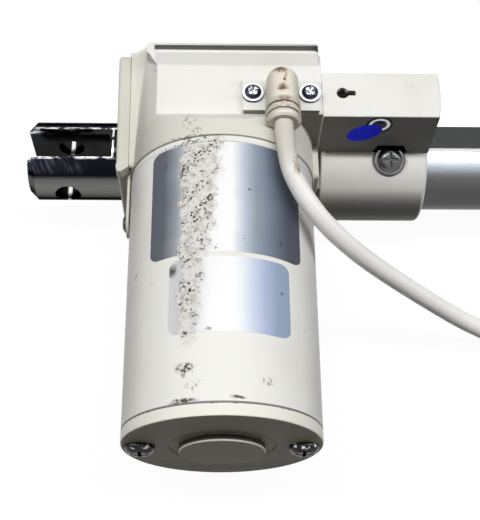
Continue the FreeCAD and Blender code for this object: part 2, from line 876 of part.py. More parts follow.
def make_spindle():
    screw = cyl_x(spindle_d / 2, front_bearing_end, spindle_end)
    tip = [e for e in screw.Edges if e.BoundBox.XMin > spindle_end - 0.01]
    screw = screw.makeChamfer(1.5, tip)
    seat = cyl_x(seat_d / 2, cup_end, front_bearing_end)
    journal = cyl_x(journal_d / 2, rear_bearing_x - 2, cup_end)
    return screw.fuse([seat, journal]).removeSplitter().cut(key_block(seat_gap))


def bearing(bore_d, x0, x1):
    """Inner and outer ring of a sealed ball bearing. The seals belong to the outer ring."""
    inner = ring_x(race_inner_d / 2, bore_d / 2 + seat_gap, x0, x1)
    outer = ring_x(bearing_d / 2, race_inner_d / 2 + running_gap, x0, x1)
    for side in (x0, x1 - 0.6):
        groove = ring_x(bearing_d / 2 - 3, race_inner_d / 2 - 1, side, side + 0.6)
        outer = outer.cut(groove)
    return inner, outer


def make_retainer():
    return ring_x(tube_r, race_inner_d / 2 + 1, front_bearing_end, tube_start)


# Tube, rod and front end


def tube_outline(x0, x1, grow):
    """Round tube with the switch channel along its front, grown by a clearance."""
    half = channel_w / 2 + grow
    channel = block(x0, x1, -half, half, 0, channel_z + grow)
    return cyl_x(tube_r + grow, x0, x1).fuse(channel).removeSplitter()


def make_outer_tube():
    tube = tube_outline(channel_x, tube_end, 0).fuse(cyl_x(tube_r, tube_start, channel_x))
    tube = tube.removeSplitter()
    half = channel_w / 2 - channel_wall
    hollow = block(channel_x - 1, tube_end + 1, -half, half, tube_r, channel_z - channel_wall)
    slit = block(channel_x - 1, tube_end - guide_length, -slit_w / 2, slit_w / 2, 0, tube_r + 1)
    tube = tube.cut([cyl_x(bore_r, tube_start - 1, tube_end + 1), hollow, slit])
    return tube.cut(end_screw_holes())


def make_drive_nut():
    """The nut that the spindle drives, with the striker that trips the limit switches."""
    body = cyl_x(bore_r - running_gap, nut_start, rod_start)
    neck = cyl_x(rod_bore_r - seat_gap, rod_start - 1, rod_start + nut_neck)
    half = striker_length / 2
    side = striker_w / 2
    x0 = first_switch_x - half
    striker = block(x0, x0 + striker_length, -side, side, bore_r - 3, striker_top)
    nut = body.fuse([neck, striker]).removeSplitter()
    return nut.cut(cyl_x(spindle_d / 2 + running_gap, nut_start - 1, rod_start + nut_neck + 1))


def make_inner_rod():
    rod = ring_x(rod_r, rod_bore_r, rod_start, rod_end)
    return rod.cut(cyl_z(cross_pin_d / 2 + seat_gap, -rod_r - 1, rod_r + 1, cross_pin_x, 0))


def make_front_clevis():
    fork = clevis_fork(
        front_bar_d, front_tip, installed_length - front_slot_depth, rod_end, installed_length, 1
    )
    spigot = cyl_x(rod_bore_r - seat_gap, rod_end - clevis_spigot, rod_end + 1)
    clevis = fork.fuse(spigot).removeSplitter()
    return clevis.cut(cyl_z(cross_pin_d / 2 + seat_gap, -rod_r, rod_r, cross_pin_x, 0))


def make_cross_pin():
    return cyl_z(cross_pin_d / 2, -rod_r + 0.2, rod_r - 0.2, cross_pin_x, 0)


def guide_seat_r():
    return rod_r + running_gap + guide_wall


def make_end_cap_of_tube():
    """Closes tube and channel, and carries the guide bush and the wiper inside a spigot."""
    face = tube_outline(tube_end, tube_end + end_cap_t, end_cap_rim)
    front = [e for e in face.Edges if e.BoundBox.XMin > tube_end + end_cap_t - 0.01]
    face = face.makeChamfer(end_cap_rim / 2, front)
    spigot = cyl_x(bore_r - seat_gap, tube_end - guide_length, tube_end + 1)
    cap = face.fuse(spigot).removeSplitter()
    cap = cap.cut(cyl_x(guide_seat_r() + seat_gap, tube_end - guide_length - 1, tube_end + wiper_t))
    cap = cap.cut(cyl_x(rod_r + 0.5, tube_end, tube_end + end_cap_t + 1))
    return cap.cut(end_screw_holes())


def make_guide_bush():
    return ring_x(guide_seat_r(), rod_r + running_gap, tube_end - guide_length, tube_end)


def make_wiper():
    return ring_x(guide_seat_r(), rod_r + running_gap, tube_end, tube_end + wiper_t)


def end_screw_spots():
    """Seats and directions of the radial screws that hold the end cap, clear of the channel."""
    x = tube_end - guide_length / 2
    spots = []
    for angle in (90.0, 180.0, 270.0):
        turn = math.radians(angle)
        direction = Vector(0, math.sin(turn), math.cos(turn))
        spots.append((Vector(x, 0, 0) + direction * tube_r, direction))
    return spots


def end_screw_length():
    return tube_r - guide_seat_r() - 0.2


def end_screw_holes():
    length = end_screw_length()
    return [
        Part.makeCylinder(end_screw_d / 2 + seat_gap, length + 1, seat + direction, direction * -1)
        for seat, direction in end_screw_spots()
    ]


def make_end_screws():
    return [
        pan_screw(seat, direction, end_screw_head_d, end_screw_head_h, end_screw_d, end_screw_length())
        for seat, direction in end_screw_spots()
    ]


# Collar with switch box


def flange_screw_places():
    reach = tube_r + flange_screw_head_d / 2 + flange_screw_gap
    turn = math.radians(flange_screw_angle)
    z = -reach * math.cos(turn)
    return [(-reach * math.sin(turn), z), (reach * math.sin(turn), z)]


def box_chamber():
    low = box_bottom + box_wall
    high = box_top - box_wall
    return block(collar_x - 1, collar_end - box_wall, low, high, channel_z + 1, box_z - box_wall)


def keyhole():
    hole = cyl_z(key_hole_d / 2, box_z - box_wall - 1, box_z + 1, key_x, key_y)
    half = key_slot_w / 2
    slot = block(key_x, key_slot_end, key_y - half, key_y + half, box_z - box_wall - 1, box_z + 1)
    return hole.fuse(slot)


def eye():
    """The hole in the box's underside and the ring groove round it."""
    depth = box_wall + 1
    hole = cyl_y(eye_d / 2, box_bottom - 1, box_bottom + depth, eye_x, eye_z)
    ring = cyl_y(eye_ring_d / 2, box_bottom - 1, box_bottom + eye_ring_depth, eye_x, eye_z)
    inner = cyl_y(eye_ring_d / 2 - eye_ring_w, box_bottom - 2, box_bottom + 1, eye_x, eye_z)
    return [hole, ring.cut(inner)]


def collar_screw_frame():
    """Seat of the collar screw on the collar's skin and the direction that its head points in."""
    turn = math.radians(collar_screw_angle)
    direction = Vector(0, -math.cos(turn), math.sin(turn))
    return Vector(collar_screw_x, 0, 0) + direction * (collar_r - 0.6), direction


def flange_plate(x0, x1):
    """One of the two plates that join housing and collar, with sloping shoulders at the front."""
    points = [
        (flange_half, case_back + 1),
        (flange_half, flange_shoulder),
        (flange_crest, flange_front),
        (-flange_crest, flange_front),
        (-flange_half, flange_shoulder),
        (-flange_half, case_back + 1),
    ]
    return prism_x(points, [4.0, 1.0, 0, 0, 1.0, 4.0], x0, x1)


def switch_box():
    """The box on the collar, with an end face that bows out."""
    near = Vector(collar_x, box_bottom, 0)
    low = Vector(collar_end, box_bottom, 0)
    high = Vector(collar_end + box_slant, box_top, 0)
    far = Vector(collar_x, box_top, 0)
    middle = (low + high) / 2 + Vector(box_bow, 0, 0)
    edges = [
        Part.makeLine(far, near),
        Part.makeLine(near, low),
        Part.Arc(low, middle, high).toShape(),
        Part.makeLine(high, far),
    ]
    box = Part.Face(Part.Wire(edges)).extrude(Vector(0, 0, box_z))
    front = [e for e in box.Edges if e.BoundBox.ZMin > box_z - 0.01 and e.BoundBox.XMax > collar_x + 1]
    return box.makeFillet(box_edge_r, front)


def make_tube_collar():
    flange = flange_plate(collar_x, collar_x + flange_t)
    sleeve = cyl_x(collar_r, collar_x + flange_t / 2, collar_end)
    end_edge = [e for e in sleeve.Edges if e.BoundBox.XMin > collar_end - 0.01]
    sleeve = sleeve.makeFillet(collar_edge_r, end_edge)
    box = switch_box()
    seat, direction = collar_screw_frame()
    inward = seat - direction * collar_r / 2
    pad = Part.makeCylinder(collar_washer_d / 2 + 0.8, collar_r / 2, inward, direction)
    low = box_bottom - seam_strip
    strip = block(channel_x, collar_end + 1, low, box_bottom, collar_r * 0.85, collar_r + 1)
    ledge = ring_x(collar_r + 1, collar_r - 0.9, collar_x, collar_end + 1)
    notch = Part.makeCylinder(collar_washer_d / 2 + 1.4, 4, seat - direction * 0.3, direction)
    collar = flange.fuse([sleeve, box]).removeSplitter()
    collar = collar.cut([strip.common(ledge), notch]).fuse(pad).removeSplitter()
    collar = collar.cut(tube_outline(channel_x, collar_end + box_slant + box_bow + 1, seat_gap))
    collar = collar.cut(cyl_x(tube_r + seat_gap, collar_x - 1, channel_x + 1))
    collar = collar.cut([box_chamber(), keyhole()] + eye())
    for y, z in flange_screw_places():
        collar = collar.cut(cyl_x(flange_screw_d / 2 + seat_gap, collar_x - 1, channel_x + 1, y, z))
        head_r = flange_screw_head_d / 2 + air_gap
        collar = collar.cut(cyl_x(head_r, channel_x, channel_x + 2 * flange_screw_head_h, y, z))
    hole_r = collar_screw_d / 2 + seat_gap
    return collar.cut(Part.makeCylinder(hole_r, collar_r - tube_r + 1, seat + direction, direction * -1))


def make_collar_screw():
    seat, direction = collar_screw_frame()
    length = collar_r - tube_r - 0.8 + collar_washer_t
    head_seat = seat + direction * collar_washer_t
    return pan_screw(
        head_seat, direction, collar_screw_head_d, collar_screw_head_h, collar_screw_d, length
    )


def make_collar_washer():
    seat, direction = collar_screw_frame()
    washer = Part.makeCylinder(collar_washer_d / 2, collar_washer_t, seat, direction)
    return washer.cut(Part.makeCylinder(collar_screw_d / 2 + seat_gap, 4, seat - direction, direction))


def make_flange_screws():
    length = flange_t + 2.5 * flange_screw_d
    ahead = Vector(1, 0, 0)
    return [
        pan_screw(
            Vector(channel_x, y, z), ahead, flange_screw_head_d, flange_screw_head_h, flange_screw_d, length
        )
        for y, z in flange_screw_places()
    ]


def make_board():
    half = channel_w / 2 - channel_wall - seat_gap
    return block(board_start, board_end, -half, half, board_z, board_z + board_t)


def make_switches():
    """Two micro switches under the board, their plungers just over the striker's path."""
    switches = []
    half = switch_width / 2
    for x in (first_switch_x, last_switch_x):
        low = board_z - switch_height
        case = block(x - switch_length / 2, x + switch_length / 2, -half, half, low, board_z)
        plunger = cyl_z(1.0, striker_top + air_gap, low + 1, x, 0)
        switches.append(case.fuse(plunger).removeSplitter())
    return switches


# Cable outlet


def make_outlet_plate():
    z1 = panel_z + plate_t
    corners = [
        Vector(plate_left, panel_bottom, panel_z),
        Vector(plate_left, plate_top, panel_z),
        Vector(plate_right, plate_top, panel_z),
        Vector(plate_right, panel_bottom, panel_z),
    ]
    plate = rounded_prism(corners, [0.6, 1.6, 1.6, 0.6], Vector(0, 0, plate_t))
    for x in (outlet_screw_left, outlet_screw_right):
        plate = plate.cut(cyl_z(outlet_screw_d / 2 + seat_gap, panel_z - 1, z1 + 1, x, outlet_screw_y))
    return plate.cut(cyl_z(elbow_stem_d / 2, panel_z - 1, z1 + 1, elbow_x, outlet_screw_y))


def outlet_screw_seats():
    z = panel_z + plate_t
    return [Vector(x, outlet_screw_y, z) for x in (outlet_screw_left, outlet_screw_right)]


def make_outlet_washers():
    washers = []
    for seat in outlet_screw_seats():
        washer = Part.makeCylinder(outlet_washer_d / 2, outlet_washer_t, seat)
        hole = Part.makeCylinder(outlet_screw_d / 2 + seat_gap, 4, seat - Vector(0, 0, 1))
        washers.append(washer.cut(hole))
    return washers


def make_outlet_screws():
    up = Vector(0, 0, 1)
    length = plate_t + outlet_washer_t + 6
    screws = []
    for seat in outlet_screw_seats():
        head_seat = seat + up * outlet_washer_t
        screws.append(
            pan_screw(head_seat, up, outlet_screw_head_d, outlet_screw_head_h, outlet_screw_d, length)
        )
    return screws


def make_elbow():
    """The moulded elbow: a domed barrel on a wider lower half, open to the cable at its end."""
    r = elbow_d / 2
    base_r = elbow_base_d / 2
    plate_z = panel_z + plate_t
    dome_y = elbow_top - r
    barrel = cyl_y(r, elbow_end, dome_y, elbow_x, elbow_z)
    rim = [e for e in barrel.Edges if e.BoundBox.YMax < elbow_end + 0.01]
    barrel = barrel.makeChamfer(elbow_chamfer, rim)
    dome = Part.makeSphere(r, Vector(elbow_x, dome_y, elbow_z))
    foot = cyl_z(r, plate_z, elbow_z, elbow_x, dome_y)
    skirt = block(elbow_x - r, elbow_x + r, panel_bottom, dome_y, plate_z, elbow_z)
    lower = cyl_y(base_r, elbow_end, panel_bottom, elbow_x, elbow_z)
    lower = lower.cut(block(elbow_x - base_r, elbow_x + base_r, elbow_end - 1, 0, elbow_z, elbow_z + base_r))
    elbow = barrel.fuse([dome, foot, skirt, lower]).removeSplitter()
    for reach in elbow_groove_starts:
        y = elbow_end + reach
        band = cyl_y(base_r + 1, y, y + elbow_groove_w, elbow_x, elbow_z)
        core = cyl_y(r - elbow_groove_depth, y - 1, y + 2, elbow_x, elbow_z)
        side = base_r + 2
        front = block(elbow_x - side, elbow_x + side, y - 1, y + 2, elbow_z, elbow_z + side)
        elbow = elbow.cut(band.cut(core).common(front))
    under = block(plate_left, plate_right, panel_bottom - seat_gap, elbow_top + 1, 0, plate_z)
    elbow = elbow.cut([under, cyl_y(neck_r + air_gap, elbow_end - 1, panel_bottom)])
    stem = cyl_z(elbow_stem_d / 2 - seat_gap, panel_z - 2, plate_z + 1, elbow_x, outlet_screw_y)
    elbow = elbow.fuse(stem).removeSplitter()
    return elbow.cut(cyl_y(cable_r, elbow_end - 1, elbow_end + elbow_grip, elbow_x, elbow_z))


# Cable: points of the free run, chosen along the way that it takes to the floor
cable_route = [
    Vector(elbow_x, elbow_end + elbow_grip, elbow_z),
    Vector(elbow_x, -31.0, elbow_z),
    Vector(90.6, -46.0, 51.0),
    Vector(100.0, -57.5, 42.5),
    Vector(114.5, -63.5, 29.5),
    Vector(138.0, -66.5, 9.0),
    Vector(164.0, -70.5, -11.0),
    Vector(188.0, -75.0, coil_z + cable_r),
    Vector(coil_x, coil_entry_y, coil_z + cable_r),
]


cable_tail = [
    Vector(coil_x, coil_entry_y, coil_z + 1.5 * cable_d),
    Vector(coil_x + 0.4 * tail_length, coil_entry_y, coil_z + 1.5 * cable_d),
    Vector(coil_x + 0.75 * tail_length, coil_entry_y, plug_z),
    Vector(tail_end, coil_entry_y, plug_z),
]


def rounded_path(points):
    """Straight runs joined by the largest tangent arcs that the runs allow."""
    edges = []
    start = points[0]
    for i in range(1, len(points) - 1):
        corner = points[i]
        back = points[i - 1] - corner
        ahead = points[i + 1] - corner
        reach = 0.45 * min(back.Length, ahead.Length)
        back.normalize()
        ahead.normalize()
        half_turn = (math.pi - back.getAngle(ahead)) / 2
        radius = reach / math.tan(half_turn)
        first = corner + back * reach
        last = corner + ahead * reach
        inward = (back + ahead).normalize()
        middle = corner + inward * (radius / math.cos(half_turn) - radius)
        edges.append(Part.LineSegment(start, first).toShape())
        edges.append(Part.Arc(first, middle, last).toShape())
        start = last
    edges.append(Part.LineSegment(start, points[-1]).toShape())
    return Part.Wire(edges)


def cable_tube(points):
    path = rounded_path(points)
    section = Part.Wire(Part.makeCircle(cable_r, points[0], points[1] - points[0]))
    return path.makePipeShell([section], True, False)


def make_coil():
    """The spare cable as one ring."""
    inner = coil_inner_r - cable_r
    outer = coil_outer_r + cable_r
    top = coil_z + coil_layers * cable_d
    ring = cyl_z(outer, coil_z, top, coil_x, coil_y)
    return ring.cut(cyl_z(inner, coil_z - 1, top + 1, coil_x, coil_y))


def make_plug():
    body_start = plug_start + boot_length
    plug_end = body_start + plug_length
    boot = cyl_x(boot_d / 2, plug_start, body_start + 1, coil_entry_y, plug_z)
    body = cyl_x(plug_d / 2, body_start, plug_end, coil_entry_y, plug_z)
    edges = [e for e in body.Edges if e.BoundBox.XLength < 0.01]
    plug = body.makeChamfer(plug_d / 16, edges).fuse(boot)
    for side in (-1, 1):
        y = coil_entry_y + side * prong_pitch / 2
        plug = plug.fuse(cyl_x(prong_d / 2, plug_end - 1, plug_end + prong_length, y, plug_z))
    bore = cyl_x(cable_r + seat_gap, plug_start - 1, tail_end + seat_gap, coil_entry_y, plug_z)
    return plug.removeSplitter().cut(bore)


def make_tie():
    """A strap round the cross section of the coil, with its head on the outside."""
    inner = coil_x + coil_inner_r - cable_r - tie_gap
    outer = coil_x + coil_outer_r + cable_r + tie_gap
    top = coil_z + coil_layers * cable_d + seat_gap
    half = tie_w / 2
    strap = block(inner - tie_t, outer + tie_t, coil_y - half, coil_y + half, floor_z, top + tie_t)
    side = tie_head / 2
    middle = (floor_z + top) / 2
    head = block(outer, outer + tie_head, coil_y - side, coil_y + side, middle - side, middle + side)
    strap = strap.fuse(head).removeSplitter()
    window = block(inner, outer, coil_y - tie_head, coil_y + tie_head, floor_z + tie_t, top)
    tie = strap.cut(window)
    tie.rotate(Vector(coil_x, coil_y, 0), Vector(0, 0, 1), tie_angle)
    return tie


def make_all():
    save("rear_cover", make_rear_cover())
    save("rear_cover_screws", *make_cover_screws())
    save("rear_clevis", make_rear_clevis())
    save("gear_housing", make_gear_housing())
    save("motor_bracket", make_motor_bracket())
    save("motor_can", make_motor_can())
    save("motor_side_screw", make_side_screw())
    save("motor_end_cap", make_end_cap())
    save("motor_cap_bolts", *make_cap_bolts())
    save("motor_magnets", *make_magnets())
    save("armature_core", make_armature_core())
    save("armature_windings", *make_windings())
    save("commutator", make_commutator())
    save("brush_holder", make_brush_holder())
    save("motor_brushes", *make_brushes())
    save("motor_shaft", make_shaft())
    save("motor_drive_bearing", make_drive_bearing())
    save("motor_tail_bush", bush_y(can_bottom, can_bottom + tail_bush_length))
    save("worm_end_bush", bush_y(worm_length / 2 + 1, worm_length / 2 + 1 + end_bush_length))
    save("worm_wheel", make_worm_wheel())
    save("wheel_key", key_block(0))
    save("spindle", make_spindle())
    inner, outer = bearing(journal_d, rear_bearing_x, cup_end)
    save("rear_bearing_inner", inner)
    save("rear_bearing_outer", outer)
    inner, outer = bearing(seat_d, front_bearing_x, front_bearing_end)
    save("front_bearing_inner", inner)
    save("front_bearing_outer", outer)
    save("bearing_retainer", make_retainer())
    save("outer_tube", make_outer_tube())
    save("drive_nut", make_drive_nut())
    save("inner_rod", make_inner_rod())
    save("front_clevis", make_front_clevis())
    save("front_cross_pin", make_cross_pin())
    save("tube_end_cap", make_end_cap_of_tube())
    save("guide_bush", make_guide_bush())
    save("rod_wiper", make_wiper())
    save("end_cap_screws", *make_end_screws())
    save("tube_collar", make_tube_collar())
    save("collar_screw", make_collar_screw())
    save("collar_washer", make_collar_washer())
    save("flange_screws", *make_flange_screws())
    save("switch_board", make_board())
    save("limit_switches", *make_switches())
    save("outlet_plate", make_outlet_plate())
    save("outlet_washers", *make_outlet_washers())
    save("outlet_screws", *make_outlet_screws())
    save("cable_elbow", make_elbow())
    save("cable_run", cable_tube(cable_route))
    save("cable_tail", cable_tube(cable_tail))
    save("cable_coil", make_coil())
    save("cable_plug", make_plug())
    save("cable_tie", make_tie())


os.makedirs("parts", exist_ok=True)
make_all()
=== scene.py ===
import math

import bmesh
import bpy
from bpy.props import FloatProperty, FloatVectorProperty, IntProperty, PointerProperty
from mathutils import Matrix, Vector
from mathutils.bvhtree import BVHTree


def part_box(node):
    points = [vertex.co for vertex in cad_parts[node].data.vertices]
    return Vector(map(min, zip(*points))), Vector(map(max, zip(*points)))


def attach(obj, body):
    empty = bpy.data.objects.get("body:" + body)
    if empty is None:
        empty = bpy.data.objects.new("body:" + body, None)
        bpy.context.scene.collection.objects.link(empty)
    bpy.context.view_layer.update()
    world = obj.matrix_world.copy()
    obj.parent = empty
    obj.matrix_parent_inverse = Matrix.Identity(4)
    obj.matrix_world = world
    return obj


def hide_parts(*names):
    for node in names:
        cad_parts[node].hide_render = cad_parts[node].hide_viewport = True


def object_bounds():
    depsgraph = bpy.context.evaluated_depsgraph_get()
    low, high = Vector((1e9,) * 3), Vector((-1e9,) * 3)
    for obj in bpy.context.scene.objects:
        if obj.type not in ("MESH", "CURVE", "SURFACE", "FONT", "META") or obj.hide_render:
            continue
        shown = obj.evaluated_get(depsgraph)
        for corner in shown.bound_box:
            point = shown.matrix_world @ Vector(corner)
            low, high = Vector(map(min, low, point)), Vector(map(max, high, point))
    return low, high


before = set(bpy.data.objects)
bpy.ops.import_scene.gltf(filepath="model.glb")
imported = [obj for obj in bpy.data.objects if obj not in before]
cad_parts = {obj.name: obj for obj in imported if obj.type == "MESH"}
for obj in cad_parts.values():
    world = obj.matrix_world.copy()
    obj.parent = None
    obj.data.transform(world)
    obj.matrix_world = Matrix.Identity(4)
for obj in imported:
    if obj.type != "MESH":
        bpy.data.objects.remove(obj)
cad_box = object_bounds()

bl_info = {
    "name": "Electric linear actuator",
    "version": (1, 0, 0),
    "blender": (4, 5, 0),
    "location": "View3D > Sidebar > Actuator",
    "description": "Finishes, cable, labels and stage of a worm geared linear actuator",
    "category": "Object",
}

MM = 0.001
HOUSING = "housing"
ROD = "rod"
floor_z = cad_box[0].z


def mm(*values):
    return Vector(values) * MM


def prop(kind, name, description, default, **more):
    return kind(name=name, description=description, default=default, **more)


def length_prop(name, description, default):
    return prop(FloatProperty, name, description, default * MM, unit="LENGTH", precision=5)


def angle_prop(name, description, turn):
    return prop(FloatProperty, name, description, math.radians(turn), subtype="ANGLE")


def colour_prop(name, description, default):
    return prop(FloatVectorProperty, name, description, default, size=3, min=0, max=1, subtype="COLOR")


class ActuatorSizes(bpy.types.PropertyGroup):
    moulded_edge: length_prop("Moulded edge", "Rounding of the moulded pieces' edges", 0.5)
    turned_edge: length_prop("Turned edge", "Broken edge of turned and milled metal", 0.35)
    sheet_edge: length_prop("Sheet edge", "Broken edge of thin plates and screw heads", 0.15)
    cable_d: length_prop("Cable diameter", "Outside diameter of the motor cable", 7.0)
    coil_x: length_prop("Coil centre X", "Middle of the put away coil along the stroke", 226.0)
    coil_entry_y: length_prop("Coil entry Y", "Line on which the cable enters and leaves the coil", -76.0)
    coil_outer_r: length_prop("Coil outer radius", "Middle of the cable in the outermost turn", 43.0)
    coil_z: length_prop("Coil height", "Middle of the cable in the lower layer of the coil", -19.25)
    coil_turns: prop(IntProperty, "Turns a layer", "Turns in each of the two layers", 2)
    label_corner: length_prop("Label corner", "Corner radius of the foil labels", 3.0)
    label_lift: length_prop("Label lift", "Height of a label's face over what it sticks to", 0.12)
    sticker_long: length_prop("Sticker length", "Half length of the oval sticker", 7.15)
    sticker_short: length_prop("Sticker width", "Half width of the oval sticker", 4.75)


class ActuatorColours(bpy.types.PropertyGroup):
    ivory: colour_prop("Ivory", "Moulded housing and collar", (0.845, 0.84, 0.805))
    ivory_shade: colour_prop("Ivory shade", "Yellowed patches of the ivory", (0.79, 0.775, 0.715))
    cream: colour_prop("Cream", "Rear cover", (0.665, 0.65, 0.57))
    motor: colour_prop("Motor paint", "Motor can and its bracket", (0.865, 0.86, 0.82))
    cap: colour_prop("Cap paint", "End cap of the motor", (0.89, 0.875, 0.795))
    dirt: colour_prop("Dirt", "Dark marks and specks", (0.055, 0.042, 0.033))
    rust: colour_prop("Rust", "Brown stains", (0.22, 0.125, 0.07))
    bare: colour_prop("Bare", "Scraped ground under the labels", (0.77, 0.755, 0.715))
    sticker: colour_prop("Sticker", "Oval sticker", (0.004, 0.007, 0.25))
    chrome: colour_prop("Dark chrome", "Plating of the screws", (0.055, 0.056, 0.06))
    # Painted glints and highlights of metal, also the bright colour of its rubbed edges
    painted_glint: colour_prop("Glint", "Rubbed edges and scratches of metal", (0.92, 0.93, 0.95))
    cable: colour_prop("Cable", "Jacket of the cable", (0.99, 0.98, 0.945))
    elbow: colour_prop("Elbow", "Moulded cable elbow", (0.90, 0.86, 0.77))


class ActuatorStage(bpy.types.PropertyGroup):
    camera_at: prop(
        FloatVectorProperty,
        "Camera",
        "Place of the camera",
        mm(59.12, -226.89, 367.36),
        subtype="XYZ",
        unit="LENGTH",
    )
    azimuth: angle_prop("Azimuth", "Camera turn", 3.43)
    elevation: angle_prop("Elevation", "Camera height angle", 63.67)
    roll: angle_prop("Roll", "Camera roll", 3.28)
    lens: prop(FloatProperty, "Lens", "Millimetres of focal length on a 36 mm side", 71.27)
    key_from: prop(
        FloatVectorProperty, "Key from", "Direction to the key light", (0.0, 0.09, 1.0), subtype="XYZ"
    )
    key_distance: length_prop("Key distance", "From the object to the key light", 4000.0)
    key_length: length_prop("Key length", "Soft box along the stroke", 26000.0)
    key_width: length_prop("Key width", "Soft box across the stroke", 420.0)
    key_power: prop(FloatProperty, "Key power", "Watts of the soft box", 660.0)
    ambient: prop(FloatProperty, "Ambient", "Soft light from all round", 0.018)


def settings(context):
    return context.scene.actuator_sizes, context.scene.actuator_colours


# Meshes


def only(piece):
    """Selects one piece alone and makes it active."""
    bpy.ops.object.select_all(action="DESELECT")
    piece.select_set(True)
    bpy.context.view_layer.objects.active = piece


def edit(piece):
    only(piece)
    bpy.ops.object.mode_set(mode="EDIT")
    bpy.ops.mesh.select_all(action="SELECT")


def done():
    bpy.ops.object.mode_set(mode="OBJECT")


def modify(piece, kind, **values):
    """Adds a modifier and applies it."""
    only(piece)
    modifier = piece.modifiers.new(kind.lower(), kind)
    for name, value in values.items():
        setattr(modifier, name, value)
    bpy.ops.object.modifier_apply(modifier=modifier.name)


def disc(name, vertices, radius, location, rotation):
    """A flat round piece."""
    bpy.ops.object.select_all(action="DESELECT")
    bpy.ops.mesh.primitive_circle_add(
        vertices=vertices, radius=radius, fill_type="NGON", location=location, rotation=rotation
    )
    piece = bpy.context.active_object
    piece.name = name
    return piece


def copy_of(node):
    """A piece that starts as a merged copy of a node's mesh."""
    piece = bpy.data.objects.new(node + "_finish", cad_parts[node].data.copy())
    piece.data.materials.clear()
    bpy.context.scene.collection.objects.link(piece)
    only(piece)
    if piece.data.has_custom_normals:
        bpy.ops.mesh.customdata_custom_splitnormals_clear()
    edit(piece)
    bpy.ops.mesh.remove_doubles(threshold=1e-6)
    bpy.ops.mesh.dissolve_limited(angle_limit=math.radians(0.2))
    done()
    return piece


def tree_of(mesh):
    return BVHTree.FromPolygons([v.co for v in mesh.vertices], [p.vertices for p in mesh.polygons])


def sharp_edges(mesh, angle, avoid):
    """Edges that turn by more than angle, apart from those near the places to avoid."""
    near = 1.5 * MM
    for e in mesh.edges:
        if len(e.link_faces) == 2 and e.calc_face_angle() > math.radians(angle):
            if not any((v.co - spot).length < near for v in e.verts for spot in avoid):
                yield e


def torn_spots(piece, before, width):
    """Where the bevel threw points off the surface that it started from."""
    spots = []
    for v in piece.data.vertices:
        place, _, _, away = before.find_nearest(v.co)
        if away > 0.7 * width:
            spots.append(place)
    return spots


def soften(piece, width):
    """Rounds the sharp edges and marks the faces that come of it in the attribute edge.
    Where the mesh is too fine for that, the edges stay as they are."""
    sharp = 50.0
    tries = 5
    start = piece.data
    before = tree_of(start)
    avoid = []
    for _ in range(tries):
        piece.data = start.copy()
        edit(piece)
        bpy.ops.mesh.select_mode(type="EDGE")
        bpy.ops.mesh.select_all(action="DESELECT")
        mesh = bmesh.from_edit_mesh(piece.data)
        for e in sharp_edges(mesh, sharp, avoid):
            e.select_set(True)
        bmesh.update_edit_mesh(piece.data)
        bpy.ops.mesh.bevel(offset=width, segments=2, profile=0.5, clamp_overlap=False)
        mesh = bmesh.from_edit_mesh(piece.data)
        mark = mesh.faces.layers.float.new("edge")
        for f in mesh.faces:
            f[mark] = 1.0 if f.select else 0.0
        bmesh.update_edit_mesh(piece.data)
        bpy.ops.mesh.select_mode(type="FACE")
        done()
        torn = torn_spots(piece, before, width)
        if not torn:
            break
        avoid += torn


def crease(piece):
    """Keeps the turns between wide faces crisp."""
    wide = 2.5 * MM
    crisp = math.radians(11)
    edit(piece)
    mesh = bmesh.from_edit_mesh(piece.data)
    broad = {f for f in mesh.faces if f.calc_area() > wide * max(e.calc_length() for e in f.edges)}
    for e in mesh.edges:
        if len(e.link_faces) == 2 and broad.issuperset(e.link_faces):
            if e.calc_face_angle() > crisp:
                e.smooth = False
    bmesh.update_edit_mesh(piece.data)
    done()


def smooth(piece):
    only(piece)
    bpy.ops.object.shade_smooth_by_angle(angle=math.radians(40))
    crease(piece)
    modify(piece, "WEIGHTED_NORMAL", keep_sharp=True)


def hollows(piece):
    """Marks in the attribute hollow how much of its sky each face has lost."""
    reach = 2.0 * MM
    lift = 1e-5
    mesh = piece.data
    around = tree_of(mesh)
    lost = mesh.attributes.new("hollow", "FLOAT", "FACE")
    rays = [(math.tau * i / 8, lean) for i in range(8) for lean in (0.5, 1.05)]
    for face in mesh.polygons:
        up = face.normal
        side = up.orthogonal().normalized()
        other = up.cross(side)
        start = face.center + up * lift
        hits = 0
        for turn, lean in rays:
            level = side * math.cos(turn) + other * math.sin(turn)
            ray = up * math.cos(lean) + level * math.sin(lean)
            if around.ray_cast(start, ray, reach)[0] is not None:
                hits += 1
        lost.data[face.index].value = hits / len(rays)


def dressed(node, material, width, body=HOUSING):
    """A softened copy that stands for a node, with the material given."""
    piece = copy_of(node)
    soften(piece, width)
    smooth(piece)
    hollows(piece)
    piece.data.materials.append(material)
    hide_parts(node)
    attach(piece, body)
    return piece


def coat(material, *nodes):
    """Gives nodes that are shown as they are their material."""
    for node in nodes:
        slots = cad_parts[node].data.materials
        slots.clear()
        slots.append(material)


# Node trees


